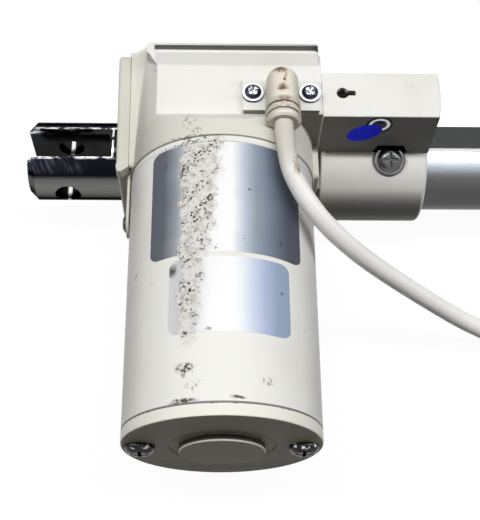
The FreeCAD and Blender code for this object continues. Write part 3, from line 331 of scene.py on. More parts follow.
class Net:
    """Adds and joins the nodes of one tree."""

    def __init__(self, tree):
        self.tree = tree

    def add(self, kind, sockets=None, **values):
        node = self.tree.nodes.new(kind)
        for name, value in values.items():
            setattr(node, name, value)
        for name, value in (sockets or {}).items():
            self.put(node.inputs[name], value)
        return node

    def put(self, socket, value):
        if isinstance(value, bpy.types.NodeSocket):
            self.tree.links.new(value, socket)
        elif socket.type == "RGBA" and len(value) == 3:
            socket.default_value = (*value, 1.0)
        else:
            socket.default_value = value

    def coords(self):
        return self.add("ShaderNodeTexCoord").outputs["Object"]

    def facing(self):
        """The normal's three parts."""
        return self.split(self.add("ShaderNodeTexCoord").outputs["Normal"])

    def attribute(self, name):
        return self.add("ShaderNodeAttribute", attribute_name=name).outputs["Fac"]

    def split(self, vector):
        return self.add("ShaderNodeSeparateXYZ", {"Vector": vector}).outputs

    def xyz(self):
        return self.split(self.coords())

    def math(self, operation, a, b=0.0):
        return self.add("ShaderNodeMath", {0: a, 1: b}, operation=operation).outputs[0]

    def vector(self, operation, a, b=(0.0, 0.0, 0.0)):
        node = self.add("ShaderNodeVectorMath", {0: a, 1: b}, operation=operation)
        return node.outputs["Value" if operation in ("LENGTH", "DOT_PRODUCT") else "Vector"]

    def line(self, start, value, slope):
        """Start plus slope times a value."""
        return self.math("ADD", start, self.math("MULTIPLY", value, slope))

    def spread(self, value, low, high, kind="LINEAR"):
        """Where a value lies from low to high, as 0 to 1."""
        sockets = {"Value": value, "From Min": low, "From Max": high}
        return self.add("ShaderNodeMapRange", sockets, interpolation_type=kind).outputs["Result"]

    def fade(self, value, low, high):
        """0 below low, 1 above high, or the other way round where low is the larger."""
        return self.spread(value, low, high, "SMOOTHSTEP")

    def cover(self, value, share, soft):
        """The part of a noise above 1 less share, with a soft rim."""
        low = self.math("SUBTRACT", 1.0, share)
        return self.fade(value, low, self.math("ADD", low, soft))

    def apart(self, value, middle):
        return self.math("ABSOLUTE", self.math("SUBTRACT", value, middle))

    def near(self, value, middle, half):
        """1 where a value is within half of middle, with a narrow rim."""
        return self.fade(self.apart(value, middle), half * 1.15, half * 0.85)

    def away(self, centre, axes=(1.0, 1.0, 1.0)):
        """Distance from a centre along the axes that are 1."""
        across = self.vector("SUBTRACT", self.coords(), centre)
        return self.vector("LENGTH", self.vector("MULTIPLY", across, axes))

    def both(self, *masks):
        """Where all the masks are."""
        whole = masks[0]
        for mask in masks[1:]:
            whole = self.math("MULTIPLY", whole, mask)
        return whole

    def mix(self, factor, a, b):
        return self.add("ShaderNodeMix", {0: factor, 6: a, 7: b}, data_type="RGBA").outputs[2]

    def ramp(self, value, low, high, stops):
        """Colours at values from low to high, blended between."""
        node = self.add("ShaderNodeValToRGB", {"Fac": self.spread(value, low, high)})
        band = node.color_ramp.elements
        band.remove(band[1])
        for i, (at, colour) in enumerate(stops):
            where = (at - low) / (high - low)
            element = band.new(where) if i else band[0]
            element.position = where
            element.color = (*colour, 1.0)
        return node.outputs["Color"]

    def noise(self, vector, scale, detail, roughness=0.55):
        sockets = {"Vector": vector, "Scale": scale, "Detail": detail, "Roughness": roughness}
        return self.add("ShaderNodeTexNoise", sockets).outputs[0]

    def cloud(self, scale, detail, low, high):
        """Soft fields of noise."""
        return self.fade(self.noise(self.coords(), scale, detail), low, high)

    def waver(self, scale, detail, size):
        """A noise that swings by half of size to either side."""
        noise = self.noise(self.coords(), scale, detail)
        return self.math("MULTIPLY", self.math("SUBTRACT", noise, 0.5), size)

    def bump(self, height, distance, strength):
        sockets = {"Height": height, "Distance": distance, "Strength": strength}
        return self.add("ShaderNodeBump", sockets).outputs["Normal"]

    def use(self, tree, **sockets):
        return self.add("ShaderNodeGroup", sockets, node_tree=tree).outputs["Mask"]

    def speck(self, scale, cover, soft=0.05):
        return self.use(specks(), Scale=scale, Cover=cover, Soft=soft)

    def rub(self, scale, cover):
        return self.use(rubbed(), Scale=scale, Cover=cover)

    def scratches(self, across, along, scale, cover=0.5):
        return self.use(hairlines(), Across=across, Along=along, Scale=scale, Cover=cover)


class Finish(Net):
    """A new material with its Principled shader, and the base colour that is laid up for it."""

    def __init__(self, name, colour=None, **sockets):
        self.material = bpy.data.materials.new(name)
        self.material.use_nodes = True
        self.colour = colour
        super().__init__(self.material.node_tree)
        self.set(**sockets)

    def set(self, **sockets):
        shader = self.tree.nodes["Principled BSDF"]
        for name, value in sockets.items():
            self.put(shader.inputs[name.replace("_", " ")], value)

    def lay(self, tint, *masks):
        """Lays a tint on the colour where all the masks are."""
        self.colour = self.mix(self.both(*masks), self.colour, tint)

    def stains(self, stain, marks):
        """Lays stains. A mark is its centre and half size in millimetres, its cover and its strength."""
        for centre, half, cover, strength in marks:
            oval = self.use(patch(), Centre=mm(*centre), Half=mm(*half))
            self.lay(stain, oval, self.speck(900.0, cover, 0.12), strength)

    def painted(self):
        """The material in its colour."""
        self.set(Base_Color=self.colour)
        return self.material


def group(name, inputs, fill):
    """A shader node group, made once. fill makes its output Mask from its inputs."""
    tree = bpy.data.node_groups.get(name)
    if tree:
        return tree
    tree = bpy.data.node_groups.new(name, "ShaderNodeTree")
    kinds = {float: "NodeSocketFloat", tuple: "NodeSocketVector"}
    for label, default in inputs.items():
        socket = tree.interface.new_socket(label, in_out="INPUT", socket_type=kinds[type(default)])
        socket.default_value = default
    tree.interface.new_socket("Mask", in_out="OUTPUT", socket_type="NodeSocketFloat")
    given = tree.nodes.new("NodeGroupInput").outputs
    made = tree.nodes.new("NodeGroupOutput").inputs
    net = Net(tree)
    net.put(made["Mask"], fill(net, given))
    return tree


def specks():
    """Scattered marks: Cover is the share of the noise that shows, Soft the width of its rim."""

    def fill(net, given):
        fine = net.noise(net.coords(), given["Scale"], 4.0, 0.6)
        return net.cover(fine, given["Cover"], given["Soft"])

    return group("specks", {"Scale": 400.0, "Cover": 0.4, "Soft": 0.04}, fill)


def patch():
    """A soft oval patch with a ragged rim."""
    ragged = 2.5 * MM

    def fill(net, given):
        place = net.coords()
        noise = net.add("ShaderNodeTexNoise", {"Vector": place, "Scale": 420.0, "Detail": 3.0})
        jitter = net.vector("SUBTRACT", noise.outputs["Color"], (0.5, 0.5, 0.5))
        moved = net.vector("ADD", place, net.vector("MULTIPLY", jitter, (ragged, ragged, ragged)))
        across = net.vector("SUBTRACT", moved, given["Centre"])
        out = net.vector("LENGTH", net.vector("DIVIDE", across, given["Half"]))
        return net.fade(out, 1.0, 0.3)

    return group("ragged_patch", {"Centre": (0.0, 0.0, 0.0), "Half": (0.01, 0.01, 0.01)}, fill)


def rubbed():
    """Where an edge has been rubbed bare."""

    def fill(net, given):
        broken = net.noise(net.coords(), given["Scale"], 3.0)
        return net.both(net.attribute("edge"), net.cover(broken, given["Cover"], 0.12))

    return group("rubbed_edge", {"Scale": 150.0, "Cover": 0.5}, fill)


def hairlines():
    """Fine scratches that run in the direction Along."""
    stretch = 0.06

    def fill(net, given):
        place = net.coords()
        across = net.vector("DOT_PRODUCT", place, given["Across"])
        along = net.vector("DOT_PRODUCT", place, given["Along"])
        drawn = net.math("MULTIPLY", given["Scale"], stretch)
        x = net.math("MULTIPLY", across, given["Scale"])
        y = net.math("MULTIPLY", along, drawn)
        line = net.add("ShaderNodeCombineXYZ", {"X": x, "Y": y})
        return net.cover(net.noise(line.outputs["Vector"], 1.0, 2.0), given["Cover"], 0.08)

    inputs = {"Across": (1.0, 0.0, 0.0), "Along": (0.0, 1.0, 0.0), "Scale": 900.0, "Cover": 0.4}
    return group("hairlines", inputs, fill)


# Finishes, with places in metres, but for the tables in millimetres, and colours in linear light

# Painted shade for faces that turn away from the light
FLANK_SHADE = (0.02, 0.018, 0.014)
SIDE_SHADE = (0.03, 0.029, 0.026)
BLUISH = (0.30, 0.34, 0.42)
STROKE = (1.0, 0.0, 0.0)
ROUND = (0.0, 0.7, 0.7)
EYE_AT = mm(122.3, 0.0, 40.9)
EYE_SIDE = (-0.0070, -0.0074)


def grey(value):
    return (value, value, value)


def degrees(tones):
    return [(math.radians(at), tone) for at, tone in tones]


def moulded(name, base, shade, dirt, roughness=0.5, marks=0.33, rub=0.30, chip=0.4, flank_shade=0.0, gloss=0.3):
    """Moulded or painted ivory, with yellowed patches, dark specks, dirty edges and painted shade on the
    front flank.
    """
    net = Finish(name, base, Specular_IOR_Level=gloss)
    net.lay(shade, net.cloud(26.0, 4.0, 0.42, 0.72))
    net.lay(dirt, net.speck(310.0, marks), net.cloud(34.0, 2.0, 0.54, 0.68), 0.6)
    net.lay(dirt, net.rub(230.0, rub), chip)
    if flank_shade:
        # Painted shade on the faces that turn towards -Y
        net.lay(FLANK_SHADE, net.fade(net.facing()[1], -0.81, -1.0), flank_shade)
    grain = net.noise(net.coords(), 1500.0, 2.0)
    rough = net.line(roughness - 0.06, grain, 0.12)
    net.set(Roughness=rough, Normal=net.bump(grain, 0.00003, 0.5))
    return net


def ivory(name, colours):
    return moulded(name, colours.ivory, colours.ivory_shade, colours.dirt, flank_shade=0.78, gloss=0.2)


def housing_plastic(colours):
    """Ivory, a darker beige towards the motor and left of the panel, and painted shade on the ramp and on
    the side towards the clevis.
    """
    net = ivory("ivory_plastic_finish", colours)
    x, y, z = net.xyz()
    # A darker beige below the panel and left of it
    darker_beige = net.math("MAXIMUM", net.fade(y, -0.0060, -0.0120), net.fade(x, 0.0370, 0.0300))
    net.lay((0.70, 0.675, 0.585), darker_beige, 0.70)
    # Painted shade on the side that faces the clevis, deeper in its corner, and on the ramp above the panel
    side = net.fade(net.facing()[0], -0.50, -0.95)
    ramp = net.both(net.near(y, 0.0175, 0.0024), net.fade(z, 0.0450, 0.0458), net.fade(x, 0.0365, 0.0370))
    corner = net.both(side, net.fade(x, 0.0360, 0.0315))
    for mask, share in ((side, 0.30), (corner, 0.20), (ramp, 0.18)):
        net.lay(SIDE_SHADE, mask, share)
    brown = (
        ((50.6, -14.5, 53.0), (4.0, 7.0, 9.0), 0.49, 0.6),
        ((53.2, -20.2, 53.5), (3.0, 1.8, 9.0), 0.58, 0.7),
        ((49.5, -12.0, 52.0), (2.0, 3.0, 9.0), 0.53, 0.6),
    )
    dark = (
        ((37.0, 14.5, 44.0), (1.1, 4.4, 8.0), 0.52, 0.7),
        ((48.0, -22.2, 52.0), (12.0, 0.6, 12.0), 0.56, 0.7),
    )
    net.stains(colours.rust, brown)
    net.stains(colours.dirt, dark)
    return net.painted()


def collar_plastic(colours):
    """Ivory with painted shade in the keyhole, a grey ring round the screw that is partly washer grey and
    partly painted shade, and the metal eye in the side of the switch box, with painted shade in its hole
    and in the groove round it.
    """
    net = ivory("collar_plastic_finish", colours)
    y, z = net.xyz()[1:]
    smudge = (((134.0, 6.3, 46.6), (3.4, 4.2, 3.0), 0.46, 0.3),)
    net.stains(colours.rust, smudge)
    # Painted shade in the keyhole on top of the switch box
    hollow = net.fade(net.attribute("hollow"), 0.45, 0.70)
    net.lay(grey(0.02), hollow, net.fade(z, 0.040, 0.042))
    low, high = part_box("collar_washer")
    # A grey ring round the screw: partly the washer's grey, partly painted shade
    net.lay(grey(0.16), net.fade(net.away((low + high) / 2), 0.0068, 0.0064))
    away = net.away(EYE_AT, (1.0, 0.0, 1.0))
    side = net.fade(y, *EYE_SIDE)
    # The eye: painted shade in its hole and in the groove round it, with a light metal ring between
    tones = ((0.0027, grey(0.01)), (0.0029, grey(0.72)), (0.0040, grey(0.55)), (0.0042, grey(0.01)))
    rings = net.ramp(away, 0.0, 0.006, tones)
    net.lay(rings, side, net.fade(away, 0.0052, 0.0050))
    net.set(Metallic=net.both(side, net.near(away, 0.0035, 0.0007)))
    return net.painted()


def worn_strip(net):
    """The scraped strip down the motor, wider at its top: (whole strip, its dark specks)."""
    x, y = net.xyz()[:2]
    x = net.math("ADD", x, net.waver(170.0, 4.0, 0.009))
    left = net.fade(x, 0.0474, 0.0484)
    slant = net.math("MULTIPLY", net.math("ADD", y, 0.087), 0.127)
    right = net.fade(net.math("SUBTRACT", x, net.math("ADD", slant, 0.0545)), 0.0022, -0.0016)
    strip = net.both(left, right, net.fade(y, -0.105, -0.099))
    streaks = net.scratches((-0.66, 0.75, 0.0), (0.75, 0.66, 0.0), 300.0, 0.52)
    clumps = net.math("MAXIMUM", streaks, net.cloud(240.0, 2.0, 0.52, 0.60))
    return strip, net.both(strip, net.speck(1000.0, 0.49, 0.07), clumps)


def scraped(net, colours):
    """Ground laid bare by scraping, mottled with beige and rust."""
    bare = net.mix(net.cloud(420.0, 3.0, 0.45, 0.66), colours.bare, (0.58, 0.55, 0.50))
    rust = net.both(net.speck(1100.0, 0.45, 0.1), 0.4)
    return net.mix(rust, bare, (0.30, 0.22, 0.15))


def motor_paint(colours):
    """Ivory paint with the worn strip, painted shade on its flanks, dark marks and a dark seam at the end
    cap.
    """
    net = moulded("motor_paint_finish", colours.motor, colours.ivory_shade, colours.dirt, 0.45)
    strip, strip_marks = worn_strip(net)
    net.lay(scraped(net, colours), strip, 0.8)
    net.lay(colours.dirt, strip_marks)
    # Painted shade on the flanks that turn towards the sides
    flank = net.fade(net.math("ABSOLUTE", net.facing()[0]), 0.74, 1.0)
    net.lay((0.10, 0.10, 0.095), flank, 0.32)
    marks = (
        ((50.5, -110.8, 52.0), (4.6, 2.6, 9.0), 0.60, 1.0),
        ((53.3, -117.0, 53.0), (4.5, 4.0, 9.0), 0.48, 0.6),
        ((77.0, -115.0, 51.0), (3.0, 2.2, 9.0), 0.50, 0.7),
        ((50.0, -121.8, 52.0), (6.5, 1.2, 9.0), 0.66, 1.0),
        ((67.6, -121.2, 54.0), (3.0, 0.9, 9.0), 0.75, 1.0),
        ((32.4, -71.2, 37.0), (0.8, 2.6, 9.0), 0.50, 0.8),
        ((38.2, -76.6, 44.0), (0.6, 1.6, 9.0), 0.50, 0.5),
        ((90.6, -94.0, 40.0), (0.9, 4.0, 9.0), 0.47, 0.6),
        ((46.0, -25.0, 50.0), (12.0, 0.7, 12.0), 0.52, 0.7),
    )
    net.stains(colours.dirt, marks)
    seam = net.near(net.xyz()[1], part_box("motor_can")[0].y, 0.0006)
    net.lay(grey(0.06), seam, 0.8)
    return net.painted()


def cap_paint(colours):
    """Cream enamel, chipped round its rim, a browner tone and painted shade on its face, a painted shadow
    along the lower part of its face and painted shade on the wall of its boss.
    """
    shade = (0.80, 0.78, 0.70)
    net = moulded(
        "cap_paint_finish", colours.cap, shade, colours.dirt, 0.55, 0.34, 0.46, 0.9, gloss=0.15
    )
    # A browner tone and painted shade on the face, which turns away from the light
    face = net.fade(net.facing()[1], -0.80, -0.98)
    net.lay((0.57, 0.50, 0.375), face, 0.85)
    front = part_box("motor_end_cap")[0].y
    y, z = net.xyz()[1:]
    # Painted shadow on the lower part of the face and painted shade on the wall of the boss
    foot = net.both(face, net.fade(y, front + 0.0010, front + 0.0015), net.fade(z, 0.006, -0.006))
    wall = net.near(y, front + 0.00150, 0.00085)
    for mask, share in ((foot, 0.75), (wall, 0.92)):
        net.lay((0.040, 0.036, 0.028), mask, share)
    return net.painted()


# Painted reflection of the foil labels: tones across the can, in millimetres along the stroke
UPPER_PAINTED_SHEEN = (
    (38, (0.108, 0.120, 0.146)),
    (42, (0.120, 0.134, 0.162)),
    (46, (0.29, 0.32, 0.35)),
    (50, (0.62, 0.64, 0.65)),
    (57, (0.86, 0.86, 0.86)),
    (66, (0.90, 0.90, 0.90)),
    (70, (0.50, 0.55, 0.64)),
    (74, (0.28, 0.33, 0.39)),
    (78, (0.20, 0.235, 0.305)),
    (82, (0.13, 0.155, 0.20)),
    (86, (0.085, 0.09, 0.12)),
)
LOWER_PAINTED_SHEEN = (
    (45, (0.66, 0.67, 0.67)),
    (49, (0.55, 0.56, 0.57)),
    (53, (0.71, 0.72, 0.73)),
    (58, (0.86, 0.86, 0.86)),
    (66, (0.88, 0.88, 0.88)),
    (69, (0.79, 0.83, 0.86)),
    (73, (0.58, 0.65, 0.77)),
    (77, (0.42, 0.49, 0.67)),
    (81, (0.31, 0.39, 0.52)),
)


def foil(name, painted_sheen, colours):
    """Bare foil whose sheen is a painted reflection that runs round the can, scraped along the worn strip.
    """
    net = Finish(name, Specular_IOR_Level=0.12)
    place = net.coords()
    strip, marks = worn_strip(net)
    x = net.math("ADD", net.xyz()[0], net.waver(60.0, 2.0, 0.003))
    # The sheen is a painted reflection laid as a ramp of tones
    net.colour = net.ramp(x, 0.036, 0.092, [(at * MM, tone) for at, tone in painted_sheen])
    net.lay(colours.dirt, net.speck(260.0, 0.32, 0.04), 0.6)
    net.lay(scraped(net, colours), strip)
    net.lay(colours.dirt, marks)
    torn = (((45.6, -75.2, 48.0), (2.6, 3.6, 9.0), 0.72, 1.0),)
    net.stains((0.10, 0.075, 0.06), torn)
    crumple = net.bump(net.noise(place, 900.0, 3.0), 0.00004, 0.35)
    net.set(Metallic=net.line(0.1, strip, -0.1), Roughness=net.line(0.42, strip, 0.15), Normal=crumple)
    return net.painted()


def plated(name, base, bright, roughness=0.2, rub=0.35):
    """Plated steel with rubbed edges painted bright, partly wear and partly painted glint, and painted
    shade in its hollows.
    """
    net = Finish(name, base, Metallic=1.0)
    drift = net.cloud(240.0, 3.0, 0.38, 0.68)
    net.lay([min(1.0, 1.8 * c) for c in base], drift, 0.5)
    # Rubbed edges in a bright colour, partly wear and partly a painted glint
    net.lay(bright, net.rub(420.0, rub))
    # Painted shade in the hollows, such as the cross of a screw head
    net.lay(grey(0.012), net.fade(net.attribute("hollow"), 0.25, 0.55))
    grain = net.bump(net.noise(net.coords(), 1300.0, 2.0), 0.00002, 0.3)
    net.set(Roughness=net.line(roughness, drift, 0.1), Normal=grain)
    return net


def bolt_steel(colours):
    """Dark domes with a painted highlight on their upper side."""
    net = plated("bolt_steel_finish", (0.022, 0.022, 0.023), (0.45, 0.46, 0.47))
    up = net.facing()[2]
    # Painted highlight on the upper side of each dome
    band = net.both(net.fade(up, 0.56, 0.70), net.fade(up, 0.92, 0.80))
    net.lay(colours.painted_glint, band, net.cloud(420.0, 2.0, 0.48, 0.58), 0.8)
    return net.painted()


def outlet_screw_steel(colours):
    """A bright middle, partly brighter metal and partly a painted highlight, in a dark rim."""
    head_r = 3.1 * MM
    net = plated("outlet_screw_finish", colours.chrome, colours.painted_glint)
    low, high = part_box("outlet_screws")
    from_middle = net.vector("ABSOLUTE", net.vector("SUBTRACT", net.coords(), (low + high) / 2))
    across = net.vector("SUBTRACT", from_middle, ((high.x - low.x) / 2 - head_r, 0.0, 0.0))
    away = net.vector("LENGTH", net.vector("MULTIPLY", across, (1.0, 1.0, 0.0)))
    # Bright middle of each head: brighter metal with a painted highlight
    centre = net.mix(net.cloud(900.0, 2.0, 0.43, 0.55), (0.16, 0.17, 0.21), (0.90, 0.91, 0.94))
    net.colour = (0.03, 0.034, 0.048)
    net.lay(centre, net.fade(away, 0.0021, 0.0015))
    return net.painted()


def washer_zinc(colours):
    """White zinc with painted shade on its rim."""
    net = plated("washer_zinc", (0.80, 0.81, 0.83), colours.painted_glint, 0.35, 0.5)
    # Painted shade on the rim, which turns away from the light
    net.lay(grey(0.03), net.fade(net.facing()[2], 0.75, 0.45))
    return net.painted()


# Painted reflection round the clevis bar: tones by the turn round its axis, in degrees
CLEVIS_PAINTED_REFLECTION = (
    (-180, grey(0.05)),
    (-95, grey(0.06)),
    (-50, (0.062, 0.065, 0.072)),
    (-20, (0.060, 0.063, 0.074)),
    (18, (0.010, 0.011, 0.018)),
    (53, (0.005, 0.005, 0.008)),
    (60, (0.120, 0.120, 0.114)),
    (72, (0.165, 0.165, 0.156)),
    (88, (0.125, 0.125, 0.118)),
    (110, grey(0.06)),
    (180, grey(0.05)),
)


def clevis_steel(colours):
    """Polished plating with a painted reflection: dark, with a lighter flank, painted glints along the
    slot, at its root and in the bore, painted shade in the slot and the bore, and bright scratches.
    """
    net = Finish("clevis_steel_finish", Metallic=1.0, Specular_Tint=grey(0.2))
    place = net.coords()
    x, y, z = net.split(place)
    turn = net.math("ARCTAN2", net.math("MULTIPLY", y, -1.0), z)
    net.colour = net.ramp(turn, -math.pi, math.pi, degrees(CLEVIS_PAINTED_REFLECTION))
    fields = net.cloud(110.0, 2.0, 0.44, 0.60)
    top = net.both(net.fade(turn, 0.30, 0.40), net.fade(turn, 0.92, 0.70))
    worn = net.both(top, net.fade(x, 0.012, -0.010), net.line(0.25, fields, 0.75))
    scratches = net.scratches((0.90, 0.43, 0.0), (-0.43, 0.90, 0.3), 900.0)
    net.lay(BLUISH, worn, 0.10)
    net.lay(BLUISH, scratches, worn, 0.35)
    # Painted shade inside the slot
    inside = net.near(y, 0.0, 0.0066)
    net.lay((0.020, 0.0195, 0.0165), inside)
    # Painted shade in the pin bore, with a painted glint down its far wall
    bore = net.fade(net.away((0.0, 0.0, 0.0), (1.0, 0.0, 1.0)), 0.0054, 0.0052)
    net.lay(grey(0.02), bore)
    net.lay(colours.painted_glint, bore, net.near(x, 0.0, 0.0008), net.fade(z, 0.001, -0.001))
    # Painted glints along the slot's edges and at its root
    drawn = net.vector("MULTIPLY", place, (0.35, 1.0, 1.0))
    broken = net.fade(net.noise(drawn, 380.0, 3.0), 0.42, 0.54)
    rim = net.both(net.near(net.math("ABSOLUTE", y), 0.0069, 0.0006), net.fade(z, 0.010, 0.012))
    net.lay(colours.painted_glint, rim, broken)
    root = net.both(inside, net.near(x, 0.0180, 0.0012), net.fade(z, 0.0065, 0.0090))
    net.lay(colours.painted_glint, root, net.cloud(420.0, 2.0, 0.45, 0.52))
    grain = net.bump(net.noise(place, 1300.0, 2.0), 0.00002, 0.3)
    net.set(Roughness=net.line(0.15, fields, 0.1), Normal=grain)
    return net.painted()


# Painted reflection round the tube: tones by the turn from its top, in degrees
TUBE_PAINTED_REFLECTION = (
    (22, grey(1.0)),
    (29.5, (0.79, 0.85, 0.92)),
    (34, (0.56, 0.62, 0.68)),
    (39, (0.36, 0.40, 0.45)),
    (44, (0.215, 0.22, 0.24)),
    (49, grey(0.14)),
    (57, grey(0.12)),
    (71, grey(0.106)),
    (86, grey(0.076)),
    (96, grey(0.067)),
)


def tube_aluminium():
    """Drawn tube with a painted reflection: a bright band along its top, grey below, a rail painted bright
    on top and dark on its sides, and painted shade at its rear end.
    """
    net = Finish("tube_aluminium_finish", Metallic=0.9, Roughness=0.4)
    x, y, z = net.xyz()
    turn = net.math("ABSOLUTE", net.math("ARCTAN2", y, z))
    net.colour = net.ramp(turn, 0.0, math.pi, degrees(TUBE_PAINTED_REFLECTION))
    # The rail: painted reflection, bright on its top and dark on its sides
    rail = net.mix(net.fade(z, 0.0350, 0.0353), grey(0.075), grey(1.0))
    net.lay(rail, net.fade(z, 0.0195, 0.0200), net.near(y, 0.0, 0.0060))
    lines = net.scratches(ROUND, STROKE, 2400.0)
    net.lay(grey(0.05), lines, 0.12)
    net.set(Normal=net.bump(lines, 0.00001, 0.3))
    # Painted shade on the rear end of the tube, where it shows in the gap at the collar
    net.lay(grey(0.12), net.fade(x, 0.110, 0.108))
    return net.painted()


def brushed(name, base, roughness):
    """Drawn or machined metal with fine lines along the stroke."""
    net = Finish(name, base, Metallic=1.0)
    lines = net.scratches(ROUND, STROKE, 2400.0)
    net.lay([0.82 * c for c in base], lines, 0.35)
    net.lay([0.5 * c for c in base], net.speck(190.0, 0.34, 0.06), 0.3)
    net.set(Roughness=net.line(roughness, lines, 0.1), Normal=net.bump(lines, 0.00001, 0.3))
    return net.painted()


def plain(name, base, roughness, metallic=0.0):
    """Inner pieces: an even colour with slight mottling and grain."""
    net = Finish(name, base, Metallic=metallic)
    grain = net.noise(net.coords(), 1200.0, 2.0)
    net.set(Roughness=net.line(roughness - 0.05, grain, 0.1), Normal=net.bump(grain, 0.00003, 0.4))
    net.lay([0.8 * c for c in base], net.cloud(90.0, 3.0, 0.35, 0.7))
    return net.painted()


def elbow_plastic(colours):
    """Beige moulding with brown stains, painted shade on its sides, a darker band round its grooves,
    painted shade on its end face, and dark brown painted shade in its grooves.
    """
    shade = (0.74, 0.70, 0.61)
    net = moulded("elbow_plastic_finish", colours.elbow, shade, colours.rust, 0.40, 0.36)
    x, y = net.xyz()[:2]
    ridge = net.fade(net.apart(x, 0.0846), 0.0050, 0.0010)
    net.lay((0.62, 0.50, 0.34), ridge, net.fade(y, -0.012, -0.004), 0.30)
    # Painted shade on the sides
    flank = net.fade(net.math("ABSOLUTE", net.facing()[0]), 0.30, 0.95)
    net.lay((0.44, 0.39, 0.30), flank, 0.65)
    # A darker band round the grooves, and painted shade on the end face that turns towards -Y
    ends = net.math("MAXIMUM", net.near(y, -0.0118, 0.0034), net.fade(net.facing()[1], -0.70, -0.95))
    net.lay((0.50, 0.46, 0.37), ends, 0.45)
    brown = (
        ((84.0, 3.0, 58.0), (3.6, 2.6, 9.0), 0.66, 1.0),
        ((85.4, 0.4, 58.0), (1.0, 2.2, 9.0), 0.60, 0.8),
        ((84.4, -4.9, 58.0), (3.0, 2.6, 9.0), 0.68, 1.0),
        ((84.6, -10.2, 58.0), (4.4, 2.4, 9.0), 0.60, 0.8),
        ((84.6, -13.4, 58.0), (4.4, 1.6, 9.0), 0.56, 0.7),
    )
    dark = (
        ((82.8, 3.7, 58.0), (2.8, 1.3, 9.0), 0.75, 1.0),
        ((85.2, -1.6, 58.0), (1.0, 0.9, 9.0), 0.9, 1.0),
        ((84.0, -5.6, 58.0), (2.2, 0.9, 9.0), 0.60, 0.9),
    )
    net.stains(colours.rust, brown)
    net.stains(colours.dirt, dark)
    # Dark brown painted shade in the grooves
    hollow = net.fade(net.attribute("hollow"), 0.30, 0.55)
    net.lay((0.075, 0.055, 0.04), hollow)
    return net.painted()


def cable_jacket(colours):
    """White jacket, darkened with age to a beige and smudged near the elbow."""
    shade = (0.95, 0.935, 0.895)
    net = moulded("cable_jacket_finish", colours.cable, shade, colours.rust, 0.30, 0.30)
    darker_beige = net.fade(net.xyz()[1], -0.050, -0.028)
    net.lay((0.53, 0.50, 0.42), darker_beige, 0.72)
    smudges = (
        ((88.8, -35.5, 57.0), (1.9, 5.5, 7.0), 0.58, 0.6),
        ((89.4, -37.4, 57.0), (1.0, 1.4, 7.0), 0.7, 0.8),
    )
    net.stains(colours.rust, smudges)
    return net.painted()


def sticker_film(colours):
    """Blue film with painted light: it glows a little of itself."""
    net = Finish("sticker_film", colours.sticker, Roughness=0.5, Specular_IOR_Level=0.05)
    net.lay((0.006, 0.012, 0.33), net.cloud(260.0, 3.0, 0.4, 0.7))
    # Painted light: the film glows a little
    net.set(Emission_Color=net.colour, Emission_Strength=0.75)
    return net.painted()


# Operators


def white_rays(net):
    """1 for the rays that see the white surroundings."""
    path = net.add("ShaderNodeLightPath").outputs
    seen = net.math("MAXIMUM", path["Is Camera Ray"], path["Is Glossy Ray"])
    return net.math("MAXIMUM", seen, path["Is Transmission Ray"])


class ACTUATOR_OT_stage(bpy.types.Operator):
    """Camera, soft box, white surroundings and floor"""

    bl_idname = "actuator.stage"
    bl_label = "Stage"

    def execute(self, context):
        stage = context.scene.actuator_stage
        self.camera(context, stage)
        self.light(context, stage)
        self.world(context, stage)
        self.floor()
        return {"FINISHED"}

    def camera(self, context, stage):
        a, e, r = stage.azimuth, stage.elevation, stage.roll
        ahead = Vector((math.sin(a) * math.cos(e), math.cos(a) * math.cos(e), -math.sin(e)))
        level = Vector((math.cos(a), -math.sin(a), 0))
        upright = level.cross(ahead)
        right = level * math.cos(r) + upright * math.sin(r)
        up = upright * math.cos(r) - level * math.sin(r)
        data = bpy.data.cameras.new("camera")
        data.lens = stage.lens
        data.sensor_width = 36
        data.clip_start = 0.01
        camera = bpy.data.objects.new("camera", data)
        turn = Matrix((right, up, -ahead)).transposed().to_4x4()
        camera.matrix_world = Matrix.Translation(stage.camera_at) @ turn
        context.scene.collection.objects.link(camera)
        context.scene.camera = camera
        context.scene.view_settings.view_transform = "Standard"

    def light(self, context, stage):
        data = bpy.data.lights.new("soft_box", "AREA")
        data.shape = "RECTANGLE"
        data.size = stage.key_length
        data.size_y = stage.key_width
        data.energy = stage.key_power
        lamp = bpy.data.objects.new("soft_box", data)
        toward = Vector(stage.key_from).normalized()
        lamp.location = (cad_box[0] + cad_box[1]) / 2 + toward * stage.key_distance
        lamp.rotation_euler = toward.to_track_quat("Z", "Y").to_euler()
        context.scene.collection.objects.link(lamp)

    def world(self, context, stage):
        world = bpy.data.worlds.new("surroundings")
        world.use_nodes = True
        net = Net(world.node_tree)
        background = world.node_tree.nodes["Background"]
        net.put(background.inputs["Color"], (1.0, 1.0, 1.0))
        net.put(background.inputs["Strength"], net.math("MAXIMUM", white_rays(net), stage.ambient))
        context.scene.world = world

    def floor(self):
        gap = 0.2 * MM
        bpy.ops.object.select_all(action="DESELECT")
        bpy.ops.mesh.primitive_grid_add(x_subdivisions=4, y_subdivisions=4, size=8, location=(0.15, 0, 0))
        floor = bpy.context.active_object
        floor.name = "floor"
        bpy.ops.transform.translate(value=(0, 0, floor_z - gap))
        bpy.ops.object.transform_apply()
        net = Finish("pale_floor", grey(0.05), Roughness=0.9, Specular_IOR_Level=0.0)
        glow = net.math("MULTIPLY", white_rays(net), 0.96)
        net.set(Emission_Color=(1.0, 1.0, 1.0), Emission_Strength=glow)
        floor.data.materials.append(net.painted())


